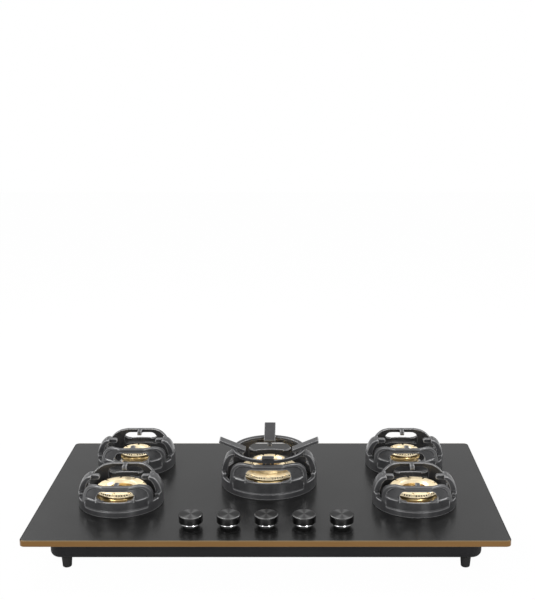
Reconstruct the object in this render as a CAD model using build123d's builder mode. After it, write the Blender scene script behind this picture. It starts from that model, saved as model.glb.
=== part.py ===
"""Built-in gas cooktop: black glass panel with five brass burners, cast pan supports and a wok stand.

Millimetres. X runs left to right, Y from the front edge to the back, Z up. The origin lies on the
surface under the feet, below the middle of the panel.
"""

from build123d import *
from math import pi
import os

os.makedirs("parts", exist_ok=True)

# ---- Panel, trim and case ---------------------------------------------------------------------
panel_width = 900
panel_depth = 510
panel_corner = 10
glass_thickness = 8
trim_wall = 1.8
trim_height = 12
trim_lip = 8
trim_bevel = 0.8
glass_gap = 0.3

case_inset_x = 47
case_inset_y = 27.5
case_height = 41
case_corner = 20
case_bottom_round = 12
case_wall = 1.2
case_flange = 12
gasket_thickness = 1
foot_height = 25
foot_top_radius = 10.5
foot_bottom_radius = 8.5
foot_inset_x = 28
foot_inset_y = 24.5
vent_length = 60
vent_width = 6
vent_pitch = 22
vent_count = 4
vent_offset_x = 175

# ---- Burner places ----------------------------------------------------------------------------
side_burner_inset = 159
front_burner_y = -74
rear_burner_inset = 123
centre_burner_y = 27
wide_cup_radius = 41
narrow_cup_radius = 32
burner_hole_gap = 3
burner_hole_radius = wide_cup_radius + burner_hole_gap
small_support_radius = 83.5
centre_support_radius = 99

# ---- Knob row ---------------------------------------------------------------------------------
knob_inset = 66
knob_pitch = 71
knob_count = 5
knob_radius = 22.5
knob_height = 12.5
knob_rise = 11.5
knob_chamfer = 1.4
knob_cavity_radius = 16.5
knob_cavity_depth = 3
knob_ring_radius = 18.5
knob_ring_height = 5.5
knob_push = 4
collar_radius = 15
collar_height = 8.5
knob_hole_radius = 7
spindle_radius = 4
spindle_tail_radius = 3
running_gap = 0.05

# ---- Small seats ------------------------------------------------------------------------------
seat_gap = 0.3
sheet = 1.5

case_width = panel_width - 2 * case_inset_x
case_depth = panel_depth - 2 * case_inset_y
side_burner_x = panel_width / 2 - side_burner_inset
rear_burner_y = panel_depth / 2 - rear_burner_inset
knob_y = knob_inset - panel_depth / 2

glass_top = foot_height + case_height + gasket_thickness + glass_thickness
glass_bottom = glass_top - glass_thickness
case_floor = foot_height + case_wall
trim_bottom = glass_top - trim_height
glass_half_gap = trim_wall + glass_gap

side_burners_front = [(-side_burner_x, front_burner_y), (side_burner_x, front_burner_y)]
side_burners_rear = [(-side_burner_x, rear_burner_y), (side_burner_x, rear_burner_y)]
centre_burner = [(0, centre_burner_y)]
all_burners = side_burners_front + side_burners_rear + centre_burner
knob_places = [((k - (knob_count - 1) / 2) * knob_pitch, knob_y) for k in range(knob_count)]
foot_places = [
    (sx * (case_width / 2 - foot_inset_x), sy * (case_depth / 2 - foot_inset_y))
    for sx in (-1, 1)
    for sy in (-1, 1)
]


def save(builder, name):
    """Label a finished piece and write it under its node's name."""
    builder.part.label = name
    export_step(builder.part, f"parts/{name}.step")


def at(places, height=0):
    """Turn plan places into places at one height."""
    return [(x, y, height) for x, y in places]


# ---- Glass panel ------------------------------------------------------------------------------
with BuildPart() as glass_panel:
    with BuildSketch(Plane.XY.offset(glass_bottom)):
        RectangleRounded(
            panel_width - 2 * glass_half_gap,
            panel_depth - 2 * glass_half_gap,
            panel_corner - glass_half_gap,
        )
        with Locations(*all_burners):
            Circle(burner_hole_radius, mode=Mode.SUBTRACT)
        with Locations(*knob_places):
            Circle(knob_hole_radius, mode=Mode.SUBTRACT)
    extrude(amount=glass_thickness)
save(glass_panel, "glass_panel")

# ---- Edge trim: a band round the glass with a lip under it ------------------------------------
with BuildPart() as edge_trim:
    with BuildSketch(Plane.XY.offset(trim_bottom)):
        RectangleRounded(panel_width, panel_depth, panel_corner)
    extrude(amount=trim_height)
    outer_rims = edge_trim.edges().group_by(Axis.Z)
    chamfer(outer_rims[0] + outer_rims[-1], length=trim_bevel)
    with BuildSketch(Plane.XY.offset(trim_bottom)):
        RectangleRounded(
            panel_width - 2 * trim_wall, panel_depth - 2 * trim_wall, panel_corner - trim_wall
        )
    extrude(amount=trim_height, mode=Mode.SUBTRACT)
    with BuildSketch(Plane.XY.offset(trim_bottom)):
        RectangleRounded(
            panel_width - 2 * trim_wall, panel_depth - 2 * trim_wall, panel_corner - trim_wall
        )
        Rectangle(
            panel_width - 2 * trim_wall - 2 * trim_lip,
            panel_depth - 2 * trim_wall - 2 * trim_lip,
            mode=Mode.SUBTRACT,
        )
    extrude(amount=glass_bottom - seat_gap - trim_bottom)
save(edge_trim, "edge_trim")

# ---- Bottom case: a pressed pan with a flange under the glass ---------------------------------
gas_line_rise = 20
gas_line_height = foot_height + gas_line_rise
gas_line_radius = 6
rail_radius = 8
rail_offset = 25
rail_y = knob_y - rail_offset
inlet_inset = 37
inlet_x = case_width / 2 - inlet_inset
inlet_thread_radius = 10.48
inlet_thread_length = 18
inlet_hole_radius = 11
foot_hole_radius = 2.75
cut_through = 1

with BuildPart() as case_room:
    with BuildSketch(Plane.XY.offset(case_floor)):
        RectangleRounded(
            case_width - 2 * case_wall, case_depth - 2 * case_wall, case_corner - case_wall
        )
    extrude(amount=case_height)
    fillet(case_room.faces().sort_by(Axis.Z)[0].edges(), radius=case_bottom_round - case_wall)

with BuildPart() as bottom_case:
    with BuildSketch(Plane.XY.offset(foot_height)):
        RectangleRounded(case_width, case_depth, case_corner)
    extrude(amount=case_height)
    fillet(bottom_case.faces().sort_by(Axis.Z)[0].edges(), radius=case_bottom_round)
    with BuildSketch(Plane.XY.offset(foot_height + case_height - case_wall)):
        RectangleRounded(
            case_width + 2 * case_flange, case_depth + 2 * case_flange, case_corner + case_flange
        )
    extrude(amount=case_wall)
    add(case_room.part, mode=Mode.SUBTRACT)
    with BuildSketch(Plane.XY.offset(foot_height)):
        with Locations(*foot_places):
            Circle(foot_hole_radius)
        for side in (-1, 1):
            with Locations((side * vent_offset_x, 0)):
                with GridLocations(vent_pitch, 0, vent_count, 1):
                    SlotOverall(vent_length, vent_width, rotation=90)
    extrude(amount=case_wall, mode=Mode.SUBTRACT)
    with BuildSketch(Plane.XZ.offset(-case_depth / 2 - cut_through)):
        with Locations((inlet_x, gas_line_height)):
            Circle(inlet_hole_radius)
    extrude(amount=case_wall + 2 * cut_through, mode=Mode.SUBTRACT)
save(bottom_case, "bottom_case")

with BuildPart() as case_gasket:
    with BuildSketch(Plane.XY.offset(glass_bottom - gasket_thickness)):
        RectangleRounded(
            case_width + 2 * case_flange, case_depth + 2 * case_flange, case_corner + case_flange
        )
        RectangleRounded(case_width, case_depth, case_corner, mode=Mode.SUBTRACT)
    extrude(amount=gasket_thickness)
save(case_gasket, "case_gasket")

# ---- Feet and their screws --------------------------------------------------------------------
foot_screw_radius = 2.5
foot_screw_depth = 12
foot_screw_head_radius = 4.5
foot_screw_head = 3
foot_bore_radius = foot_screw_radius + seat_gap
foot_bore_end = 2
foot_bore_bottom = foot_height - foot_screw_depth - foot_bore_end
foot_edge_round = 1.2

with BuildPart() as one_foot:
    with BuildSketch(Plane.XZ):
        with BuildLine():
            Polyline(
                (foot_bore_radius, foot_height),
                (foot_top_radius, foot_height),
                (foot_bottom_radius, foot_edge_round),
                (foot_bottom_radius - foot_edge_round, 0),
                (0, 0),
                (0, foot_bore_bottom),
                (foot_bore_radius, foot_bore_bottom),
                close=True,
            )
        make_face()
    revolve(axis=Axis.Z)

with BuildPart() as feet:
    with Locations(*foot_places):
        add(one_foot.part)
save(feet, "feet")

with BuildPart() as foot_screws:
    with BuildSketch(Plane.XY.offset(case_floor)):
        with Locations(*foot_places):
            Circle(foot_screw_head_radius)
    extrude(amount=foot_screw_head)
    with BuildSketch(Plane.XY.offset(case_floor)):
        with Locations(*foot_places):
            Circle(foot_screw_radius)
    extrude(amount=-foot_screw_depth)
save(foot_screws, "foot_screws")

# ---- Burners ----------------------------------------------------------------------------------
cup_stand = 12
cup_bottom = case_floor + cup_stand
cup_wall = 3
cup_flange_reach = 5
cup_floor = 3
tray_thickness = 1.2
tray_inset = 10.5
tray_radius = small_support_radius - tray_inset
centre_tray_inset = 13
centre_tray_radius = centre_support_radius - centre_tray_inset
tray_rim = 2.5
tray_cup_gap = 1
tray_bottom = glass_top + seat_gap
cup_flange_bottom = tray_bottom + tray_thickness + seat_gap
cup_flange_thickness = 3.5
crown_seat = cup_flange_bottom + cup_flange_thickness + seat_gap
mixer_radius = 11
mixer_bore = 8.5
mixer_rise = 13
mixer_height = cup_bottom + mixer_rise
injector_radius = 5
injector_length = 12
bracket_half = 50
bracket_width = 60
bracket_lip = 12
bracket_hole_radius = 23
pin_radius = 2
pin_hole_gap = 0.3
pin_drop = 6


class Burner:
    """Sizes of one burner kind: its cup in the case, its brass crown above the glass, its middle well."""

    def __init__(self, cup_radius, well_radius, crown_radius, crown_rise, pin_offset, reach):
        self.cup_radius = cup_radius
        self.well_radius = well_radius
        self.crown_radius = crown_radius
        self.crown_rise = crown_rise
        self.pin_offset = pin_offset
        self.reach = reach


front_burner = Burner(
    cup_radius=wide_cup_radius,
    well_radius=25,
    crown_radius=51,
    crown_rise=33,
    pin_offset=19,
    reach=85,
)
rear_burner = Burner(
    cup_radius=narrow_cup_radius,
    well_radius=12,
    crown_radius=34.5,
    crown_rise=33,
    pin_offset=7,
    reach=76,
)
middle_burner = Burner(
    cup_radius=wide_cup_radius,
    well_radius=25,
    crown_radius=63,
    crown_rise=33,
    pin_offset=19,
    reach=87,
)
cap_radius = 12.5
cap_height = 7
cap_post_radius = 8
cap_post_rise = 10
cap_foot_slope = 2
cap_foot_height = 3
cap_top_slope = 3
pin_rise = 14
cap_dome = 2


def burner_cup(burner, direction):
    """One aluminium burner cup at the origin, with its mixing tube along a plan direction."""
    tube_plane = Plane(origin=(0, 0, mixer_height), x_dir=(0, 0, 1), z_dir=(*direction, 0))
    top = cup_flange_bottom + cup_flange_thickness
    flange_radius = burner.cup_radius + cup_flange_reach
    with BuildPart() as cup:
        with BuildSketch(Plane.XZ):
            with BuildLine():
                Polyline(
                    (0, cup_bottom),
                    (burner.cup_radius, cup_bottom),
                    (burner.cup_radius, cup_flange_bottom),
                    (flange_radius, cup_flange_bottom),
                    (flange_radius, top),
                    (0, top),
                    close=True,
                )
            make_face()
        revolve(axis=Axis.Z)
        with BuildSketch(tube_plane):
            Circle(mixer_radius)
        extrude(amount=burner.reach - injector_length)
        with BuildSketch(Plane.XY.offset(cup_bottom + cup_floor)):
            Circle(burner.cup_radius - cup_wall)
            Circle(burner.well_radius + cup_wall, mode=Mode.SUBTRACT)
        extrude(amount=top, mode=Mode.SUBTRACT)
        with BuildSketch(Plane.XY.offset(cup_bottom + cup_floor)):
            Circle(burner.well_radius)
        extrude(amount=top, mode=Mode.SUBTRACT)
        with BuildSketch(tube_plane.offset(burner.cup_radius - 2 * cup_wall)):
            Circle(mixer_bore)
        extrude(amount=burner.reach, mode=Mode.SUBTRACT)
        with BuildSketch(Plane.XY.offset(cup_bottom)):
            with Locations((0, burner.pin_offset), (0, -burner.pin_offset)):
                Circle(pin_radius + pin_hole_gap)
        extrude(amount=cup_floor, mode=Mode.SUBTRACT)
        if burner.well_radius > cap_radius:
            with BuildSketch(Plane.XY.offset(cup_bottom + cup_floor)):
                Circle(cap_post_radius)
            extrude(amount=crown_seat + cap_post_rise - cup_bottom - cup_floor)
    return cup.part


def mirrored_pair(name, left_part, right_part, height_places):
    """Two handed solids of one node, one at each place."""
    with BuildPart() as pair:
        with Locations(height_places[0]):
            add(left_part)
        with Locations(height_places[1]):
            add(right_part)
    save(pair, name)


towards_middle = [(1, 0), (-1, 0)]
mirrored_pair(
    "front_burner_cups",
    burner_cup(front_burner, towards_middle[0]),
    burner_cup(front_burner, towards_middle[1]),
    at(side_burners_front),
)
mirrored_pair(
    "rear_burner_cups",
    burner_cup(rear_burner, towards_middle[0]),
    burner_cup(rear_burner, towards_middle[1]),
    at(side_burners_rear),
)
with BuildPart() as centre_burner_cup:
    with Locations(at(centre_burner)[0]):
        add(burner_cup(middle_burner, (0, -1)))
save(centre_burner_cup, "centre_burner_cup")


def bracket_profile():
    """Hat-shaped strip that carries a burner cup above the case floor."""
    low = case_floor
    high = cup_bottom - sheet
    with BuildPart() as bracket:
        with BuildSketch(Plane.XZ.offset(-bracket_width / 2)):
            with Locations((0, high + sheet / 2)):
                Rectangle(2 * bracket_half, sheet)
            for side in (-1, 1):
                with Locations((side * (bracket_half - sheet / 2), (low + high) / 2)):
                    Rectangle(sheet, high - low)
                with Locations((side * (bracket_half - bracket_lip / 2), low + sheet / 2)):
                    Rectangle(bracket_lip, sheet)
        extrude(amount=bracket_width)
        with BuildSketch(Plane.XY.offset(high)):
            Circle(bracket_hole_radius)
        extrude(amount=sheet, mode=Mode.SUBTRACT)
    return bracket.part


one_bracket = bracket_profile()
with BuildPart() as burner_brackets:
    with Locations(*at(all_burners)):
        add(one_bracket)
save(burner_brackets, "burner_brackets")


def drip_trays(name, burner, places, radius):
    """Pressed trays that lie on the glass round the burner cups."""
    inner = burner.cup_radius + tray_cup_gap
    with BuildPart() as one_tray:
        with BuildSketch(Plane.XZ):
            with BuildLine():
                Polyline(
                    (inner, tray_bottom),
                    (radius, tray_bottom),
                    (radius, tray_bottom + tray_rim),
                    (radius - tray_thickness, tray_bottom + tray_rim),
                    (radius - tray_thickness, tray_bottom + tray_thickness),
                    (inner, tray_bottom + tray_thickness),
                    close=True,
                )
            make_face()
        revolve(axis=Axis.Z)
    with BuildPart() as trays:
        with Locations(*places):
            add(one_tray.part)
    save(trays, name)


drip_trays("front_drip_trays", front_burner, side_burners_front, tray_radius)
drip_trays("rear_drip_trays", rear_burner, side_burners_rear, tray_radius)
drip_trays("centre_drip_tray", middle_burner, centre_burner, centre_tray_radius)

# ---- Brass crowns and caps --------------------------------------------------------------------
crown_neck_height = 8
crown_flare_height = 4
crown_body_step = 2
crown_band_low = 27
crown_band_lip = 1
crown_slope = 4.5
crown_well_lip = 5
port_radius = 1.1
port_depth = 3
port_pitch = 5.15
notch_width = 4
notch_depth = 2
notch_length = 12
upper_tier_radius = 41
upper_tier_rise = 14
upper_tier_band = 5


def crown_band(radius, low, top):
    """Overhanging band of a crown, with the sloped face that holds the flame ports."""
    return [
        (radius - crown_body_step, low),
        (radius, low),
        (radius, low + crown_band_lip),
        (radius - crown_slope, top),
    ]


def cut_ports(radius, low, top, groups, ports):
    """Flame ports in groups round a sloped band, and a notch between each two groups."""
    middle_radius = radius - crown_slope / 2
    step = 360 * port_pitch / (2 * pi * middle_radius)
    span = step * (ports - 1)
    with BuildPart() as cutters:
        for group in range(groups):
            with Locations((0, 0, (low + crown_band_lip + top) / 2)):
                with PolarLocations(
                    middle_radius, ports, 360 * group / groups - span / 2, span, endpoint=True
                ):
                    Cylinder(port_radius, 2 * port_depth, rotation=(0, 90, 0))
        with BuildSketch(Plane.XY.offset(top - notch_depth)):
            with PolarLocations(radius - notch_length / 2, groups, 180 / groups):
                Rectangle(notch_length, notch_width)
        extrude(amount=2 * notch_depth)
    return cutters.part


def crown(burner, groups, ports, upper_groups=0, upper_ports=0):
    """One brass crown at the origin: a neck on the cup and a ported head that widens above it."""
    low = crown_seat
    flare = low + crown_neck_height
    band_low = glass_top + crown_band_low
    top = glass_top + burner.crown_rise
    rings = [(burner.crown_radius, band_low, top, groups, ports)]
    if upper_groups:
        upper_top = top + upper_tier_rise
        rings.append(
            (upper_tier_radius, upper_top - upper_tier_band, upper_top, upper_groups, upper_ports)
        )
    outline = [
        (burner.well_radius, low),
        (burner.cup_radius, low),
        (burner.cup_radius, flare),
        (burner.crown_radius - crown_body_step, flare + crown_flare_height),
    ]
    for radius, ring_low, ring_top, _, _ in rings:
        if radius < burner.crown_radius:
            outline.append((radius - crown_body_step, top))
        outline += crown_band(radius, ring_low, ring_top)
    outline += [
        (burner.well_radius + crown_well_lip, rings[-1][2]),
        (burner.well_radius, rings[-1][2] - crown_well_lip),
    ]
    with BuildPart() as brass:
        with BuildSketch(Plane.XZ):
            with BuildLine():
                Polyline(*outline, close=True)
            make_face()
        revolve(axis=Axis.Z)
        for ring in rings:
            add(cut_ports(*ring), mode=Mode.SUBTRACT)
    return brass.part


front_crown = crown(front_burner, 9, 5)
rear_crown = crown(rear_burner, 6, 5)
centre_crown = crown(middle_burner, 10, 5, 8, 4)

sides = ["left", "right"]
for side, place in zip(sides, side_burners_front):
    with BuildPart() as placed_crown:
        with Locations(place):
            add(front_crown)
    save(placed_crown, f"front_{side}_crown")
for side, place in zip(sides, side_burners_rear):
    with BuildPart() as placed_crown:
        with Locations(place):
            add(rear_crown)
    save(placed_crown, f"rear_{side}_crown")
with BuildPart() as placed_crown:
    with Locations(centre_burner[0]):
        add(centre_crown)
save(placed_crown, "centre_crown")

cap_bottom = crown_seat + cap_post_rise + seat_gap
with BuildPart() as one_cap:
    with BuildSketch(Plane.XZ):
        with BuildLine():
            Polyline(
                (0, cap_bottom),
                (cap_radius - cap_foot_slope, cap_bottom),
                (cap_radius, cap_bottom + cap_foot_height),
                (cap_radius, cap_bottom + cap_height - cap_dome),
                (cap_radius - cap_top_slope, cap_bottom + cap_height),
                (0, cap_bottom + cap_height),
                close=True,
            )
        make_face()
    revolve(axis=Axis.Z)
cap_names = ["front_left_cap", "front_right_cap", "centre_cap"]
for name, place in zip(cap_names, side_burners_front + centre_burner):
    with BuildPart() as placed_cap:
        with Locations(place):
            add(one_cap.part)
    save(placed_cap, name)


def burner_pins(name, side):
    """Rods that stand in the wells of the burners: the spark electrodes or the thermocouples."""
    with BuildPart() as pins:
        for burner, places in (
            (front_burner, side_burners_front),
            (rear_burner, side_burners_rear),
            (middle_burner, centre_burner),
        ):
            with BuildSketch(Plane.XY.offset(cup_bottom - pin_drop)):
                with Locations(*[(x, y + side * burner.pin_offset) for x, y in places]):
                    Circle(pin_radius)
            extrude(amount=crown_seat + pin_rise - cup_bottom + pin_drop)
    save(pins, name)


burner_pins("spark_electrodes", 1)
burner_pins("thermocouples", -1)

# ---- Cast pan supports ------------------------------------------------------------------------
support_wall = 8
finger_width = 9
finger_depth = 10
finger_overlap = 2
lean_share = 0.09
over_share = 0.25
taper_share = 0.13
shoulder_drop = 10
flat_clear = 4
ear_half_width = 15
ear_thickness = 12
ear_tray_gap = 3.2
ear_low = seat_gap + tray_rim + ear_tray_gap
ear_foot_half_width = 28
ear_foot_rise = 7
ledge_height = 12
ledge_depth = 2
ledge_clear = 5
border_width = 6.5
border_top = 4
recess_depth = 2
wall_thickness = 5
window_round = 12


class Support:
    """Sizes of one cast pan support, with heights above the glass and insets from its radius."""

    def __init__(self, radius, ring, wall, top, bar, reach, rim, face_inset, shoulder_inset, post, arch_round):
        self.radius = radius
        self.ring = ring
        self.wall = wall
        self.top = top
        self.bar = bar
        self.tip = radius - reach
        self.lip = radius - rim
        self.chord = radius - face_inset
        self.shoulder = radius - shoulder_inset
        self.window = self.shoulder - post
        self.arch_round = arch_round


small_support = Support(
    radius=small_support_radius,
    ring=20,
    wall=31,
    top=57,
    bar=9.5,
    reach=42.5,
    rim=25.5,
    face_inset=16.5,
    shoulder_inset=15.5,
    post=32,
    arch_round=32,
)
centre_support = Support(
    radius=centre_support_radius,
    ring=22,
    wall=36,
    top=66,
    bar=10,
    reach=46,
    rim=27.5,
    face_inset=19,
    shoulder_inset=21,
    post=33,
    arch_round=34,
)


def revolved_bowl(support, inset):
    """Bowl-shaped body that the ears are cut from, moved in by inset."""
    radius = support.radius - inset
    lean_point = (radius - lean_share * support.radius, support.top - shoulder_drop)
    top_point = (radius - over_share * support.radius, support.top - inset)
    with BuildPart() as bowl:
        with BuildSketch(Plane.XZ):
            with BuildLine():
                wall = Line((radius, 0), (radius, support.ring))
                lean = TangentArc(wall @ 1, lean_point, tangent=wall % 1)
                over = TangentArc(lean @ 1, top_point, tangent=lean % 1)
                Polyline(over @ 1, (0, support.top - inset), (0, 0), wall @ 0)
            make_face()
        revolve(axis=Axis.Z)
    return bowl.part


def flat_faced_cone(support, inset):
    """Tapered body whose front and back are cut flat by leaning planes, moved in by inset."""
    radius = support.radius - inset
    low_half = radius + flat_clear
    top_half = support.chord - inset
    with BuildPart() as cone:
        with BuildSketch(Plane.XZ):
            Polygon(
                (0, 0),
                (radius, 0),
                (radius, support.ring),
                (radius - taper_share * support.radius, support.top),
                (0, support.top),
                align=None,
            )
        revolve(axis=Axis.Z)
        with BuildSketch(Plane.YZ.offset(-support.radius)):
            Polygon(
                (-low_half, 0),
                (low_half, 0),
                (low_half, support.ring),
                (top_half, support.top),
                (-top_half, support.top),
                (-low_half, support.ring),
                align=None,
            )
        extrude(amount=2 * support.radius, mode=Mode.INTERSECT)
    return cone.part


def arch_block(support, side_inset, top_inset):
    """Arch outline with round shoulders, carried right across the support, moved in by the insets."""
    half = support.shoulder - side_inset
    top = support.top - top_inset
    with BuildPart() as block:
        with BuildSketch(Plane.XZ.offset(-support.radius)) as outline:
            Polygon((-half, 0), (half, 0), (half, top), (-half, top), align=None)
            fillet(outline.vertices().group_by(Axis.Y)[-1], radius=support.arch_round - side_inset)
        extrude(amount=2 * support.radius)
    return block.part


def window_block(support):
    """Arch window with round upper corners, carried right across the support."""
    low = support.ring
    high = support.top - support.bar
    with BuildPart() as block:
        with BuildSketch(Plane.XZ.offset(-support.radius)) as outline:
            Polygon(
                (-support.window, low),
                (support.window, low),
                (support.window, high),
                (-support.window, high),
                align=None,
            )
            fillet(outline.vertices().group_by(Axis.Y)[-1], radius=window_round)
        extrude(amount=2 * support.radius)
    return block.part


def ring_sector(radius, thickness, low, high, half_x, half_y):
    """Part of a round wall that lies within a plan rectangle about the middle."""
    with BuildPart() as sector:
        with BuildSketch(Plane.XY.offset(low)):
            Circle(radius)
            Circle(radius - thickness, mode=Mode.SUBTRACT)
            Rectangle(2 * half_x, 2 * half_y, mode=Mode.INTERSECT)
        extrude(amount=high - low)
    return sector.part


def finger(support, root, turn):
    """Radial finger in the middle of an arch, with a rounded tip over the burner."""
    top = support.top
    tip = support.tip
    half = finger_depth / 2
    with BuildPart() as rib:
        with BuildSketch(Plane.XZ.rotated((0, 0, turn)).offset(-finger_width / 2)):
            with BuildLine():
                upper = Line((root, top), (tip + half, top))
                nose = ThreePointArc(upper @ 1, (tip, top - half), (tip + half, top - finger_depth))
                Polyline(nose @ 1, (root, top - finger_depth), upper @ 0)
            make_face()
        extrude(amount=finger_width)
    return rib.part


def cast_support(support):
    """One enamelled cast support at the origin: a ring with two wide arches and two hooked ears."""
    radius = support.radius
    wall_half = support.shoulder - border_width - ledge_clear
    with BuildPart() as recess:
        add(arch_block(support, border_width, border_top))
        add(flat_faced_cone(support, recess_depth), mode=Mode.SUBTRACT)
        with BuildSketch():
            Rectangle(4 * radius, 4 * radius)
        extrude(amount=support.wall, mode=Mode.SUBTRACT)
    with BuildPart() as wide_arches:
        add(flat_faced_cone(support, 0))
        add(flat_faced_cone(support, support_wall), mode=Mode.SUBTRACT)
        add(arch_block(support, 0, 0), mode=Mode.INTERSECT)
        add(recess.part, mode=Mode.SUBTRACT)
        add(window_block(support), mode=Mode.SUBTRACT)
    with BuildPart() as ears:
        add(revolved_bowl(support, 0))
        add(revolved_bowl(support, ear_thickness), mode=Mode.SUBTRACT)
        with BuildSketch():
            Circle(support.lip)
        extrude(amount=support.top, mode=Mode.SUBTRACT)
        with BuildSketch(Plane.XY.offset(ear_low)):
            Rectangle(2 * radius, 2 * ear_half_width)
        extrude(amount=support.top, mode=Mode.INTERSECT)
    ear_root = radius * (1 - over_share) + finger_overlap
    arch_root = support.chord - finger_overlap
    with BuildPart() as casting:
        with BuildSketch():
            Circle(radius)
            Circle(radius - support_wall, mode=Mode.SUBTRACT)
        extrude(amount=support.ring)
        add(ring_sector(radius, wall_thickness, support.ring, support.wall, wall_half, radius))
        add(
            ring_sector(
                radius,
                support_wall,
                support.ring,
                support.ring + ear_foot_rise,
                radius,
                ear_foot_half_width,
            )
        )
        add(wide_arches.part)
        add(
            ring_sector(radius, ledge_depth, ledge_height, support.wall, wall_half + ledge_clear, radius),
            mode=Mode.SUBTRACT,
        )
        add(ears.part)
        for turn, root in ((0, ear_root), (90, arch_root), (180, ear_root), (270, arch_root)):
            add(finger(support, root, turn))
    return casting.part


small_casting = cast_support(small_support)
centre_casting = cast_support(centre_support)
support_places = {
    "front_left_support": side_burners_front[0],
    "front_right_support": side_burners_front[1],
    "rear_left_support": side_burners_rear[0],
    "rear_right_support": side_burners_rear[1],
}
for name, place in support_places.items():
    with BuildPart() as placed_support:
        with Locations((*place, glass_top)):
            add(small_casting)
    save(placed_support, name)
with BuildPart() as placed_support:
    with Locations((*centre_burner[0], glass_top)):
        add(centre_casting)
save(placed_support, "centre_support")

# ---- Wok stand on the centre support ----------------------------------------------------------
stand_ring_low_radius = 65.5
stand_ring_top_radius = 74.5
stand_ring_wall = 5
stand_ring_bottom = 54
stand_ring_top = 76
stand_arm_width = 21.5
stand_arm_thickness = 6
stand_arm_inner = 50
stand_arm_outer = 103
stand_arm_inner_height = 67
stand_arm_outer_height = 89
stand_arm_lean = 2
slot_clearance = 0.5

with BuildPart() as wok_stand_shape:
    with BuildSketch(Plane.XZ):
        Polygon(
            (stand_ring_low_radius - stand_ring_wall, stand_ring_bottom),
            (stand_ring_low_radius, stand_ring_bottom),
            (stand_ring_top_radius, stand_ring_top),
            (stand_ring_top_radius - stand_ring_wall, stand_ring_top),
            align=None,
        )
    revolve(axis=Axis.Z)
    for turn in range(0, 360, 90):
        with BuildSketch(Plane.XZ.rotated((0, 0, turn)).offset(-finger_width / 2 - slot_clearance)):
            with Locations((centre_support.radius / 2, centre_support.top / 2 + seat_gap)):
                Rectangle(centre_support.radius, centre_support.top)
        extrude(amount=finger_width + 2 * slot_clearance, mode=Mode.SUBTRACT)
    for turn in range(0, 360, 90):
        with BuildSketch(Plane.XZ.rotated((0, 0, turn)).offset(-stand_arm_width / 2)):
            Polygon(
                (stand_arm_inner, stand_arm_inner_height),
                (stand_arm_outer, stand_arm_outer_height),
                (stand_arm_outer - stand_arm_lean, stand_arm_outer_height + stand_arm_thickness),
                (stand_arm_inner - stand_arm_lean, stand_arm_inner_height + stand_arm_thickness),
                align=None,
            )
        extrude(amount=stand_arm_width)
with BuildPart() as wok_stand:
    with Locations((*centre_burner[0], glass_top)):
        add(wok_stand_shape.part)
save(wok_stand, "wok_stand")

# ---- Knobs, spindles, plugs and valve bodies --------------------------------------------------
valve_rise = 9
valve_bottom = foot_height + valve_rise
valve_head = 5
valve_top = mixer_height + valve_head
valve_half_width = 12
valve_front = rail_offset - rail_radius - seat_gap
valve_back = 18
valve_wall = 2
bonnet_radius = 9
bonnet_drop = 2
bonnet_top = glass_bottom - bonnet_drop
plug_radius = 8
plug_bottom = valve_bottom + valve_wall
plug_headroom = 4
plug_top = valve_top - plug_headroom
plug_bore_floor = 1.5
plug_bore_bottom = plug_bottom + plug_bore_floor
tail_clearance = 1
tail_bottom = plug_bore_bottom + knob_push + tail_clearance
tail_top = plug_top + knob_push + tail_clearance
knob_bottom = glass_top + knob_rise
spindle_grip = 8
spindle_top = knob_bottom + spindle_grip
boss_radius = 8
boss_drop = 5
boss_bottom = knob_bottom + knob_cavity_depth - boss_drop
collar_wall = 5.5

with BuildPart() as knob_shape:
    with BuildSketch(Plane.XZ):
        Polygon(
            (0, knob_bottom + knob_cavity_depth),
            (knob_cavity_radius, knob_bottom + knob_cavity_depth),
            (knob_cavity_radius, knob_bottom),
            (knob_radius, knob_bottom),
            (knob_radius, knob_bottom + knob_height - knob_chamfer),
            (knob_radius - knob_chamfer, knob_bottom + knob_height),
            (0, knob_bottom + knob_height),
            align=None,
        )
    revolve(axis=Axis.Z)
    with BuildSketch(Plane.XY.offset(boss_bottom)):
        Circle(boss_radius)
    extrude(amount=boss_drop)
    with BuildSketch(Plane.XY.offset(boss_bottom)):
        Circle(spindle_radius + running_gap)
    extrude(amount=spindle_top + seat_gap - boss_bottom, mode=Mode.SUBTRACT)

with BuildPart() as knob_ring_shape:
    with BuildSketch(Plane.XY.offset(knob_bottom)):
        Circle(knob_ring_radius)
        Circle(knob_cavity_radius, mode=Mode.SUBTRACT)
    extrude(amount=-knob_ring_height)

with BuildPart() as spindle_shape:
    with BuildSketch(Plane.XY.offset(tail_top)):
        Circle(spindle_radius)
    extrude(amount=spindle_top - tail_top)
    with BuildSketch(Plane.XY.offset(tail_bottom)):
        Circle(spindle_tail_radius)
    extrude(amount=tail_top - tail_bottom)

with BuildPart() as plug_shape:
    with BuildSketch(Plane.XY.offset(plug_bottom)):
        Circle(plug_radius - running_gap)
    extrude(amount=plug_top - plug_bottom)
    with BuildSketch(Plane.XY.offset(plug_bore_bottom)):
        Circle(spindle_tail_radius + running_gap)
    extrude(amount=plug_top - plug_bore_bottom, mode=Mode.SUBTRACT)

with BuildPart() as valve_shape:
    with BuildSketch(Plane.XY.offset(valve_bottom)):
        with Locations((0, (valve_back - valve_front) / 2)):
            Rectangle(2 * valve_half_width, valve_back + valve_front)
    extrude(amount=valve_top - valve_bottom)
    with BuildSketch(Plane.XY.offset(valve_top)):
        Circle(bonnet_radius)
    extrude(amount=bonnet_top - valve_top)
    with BuildSketch(Plane.XY.offset(plug_bottom - running_gap)):
        Circle(plug_radius)
    extrude(amount=valve_top - valve_wall - plug_bottom, mode=Mode.SUBTRACT)
    with BuildSketch(Plane.XY.offset(plug_bottom)):
        Circle(spindle_radius + running_gap)
    extrude(amount=bonnet_top - plug_bottom, mode=Mode.SUBTRACT)

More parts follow.
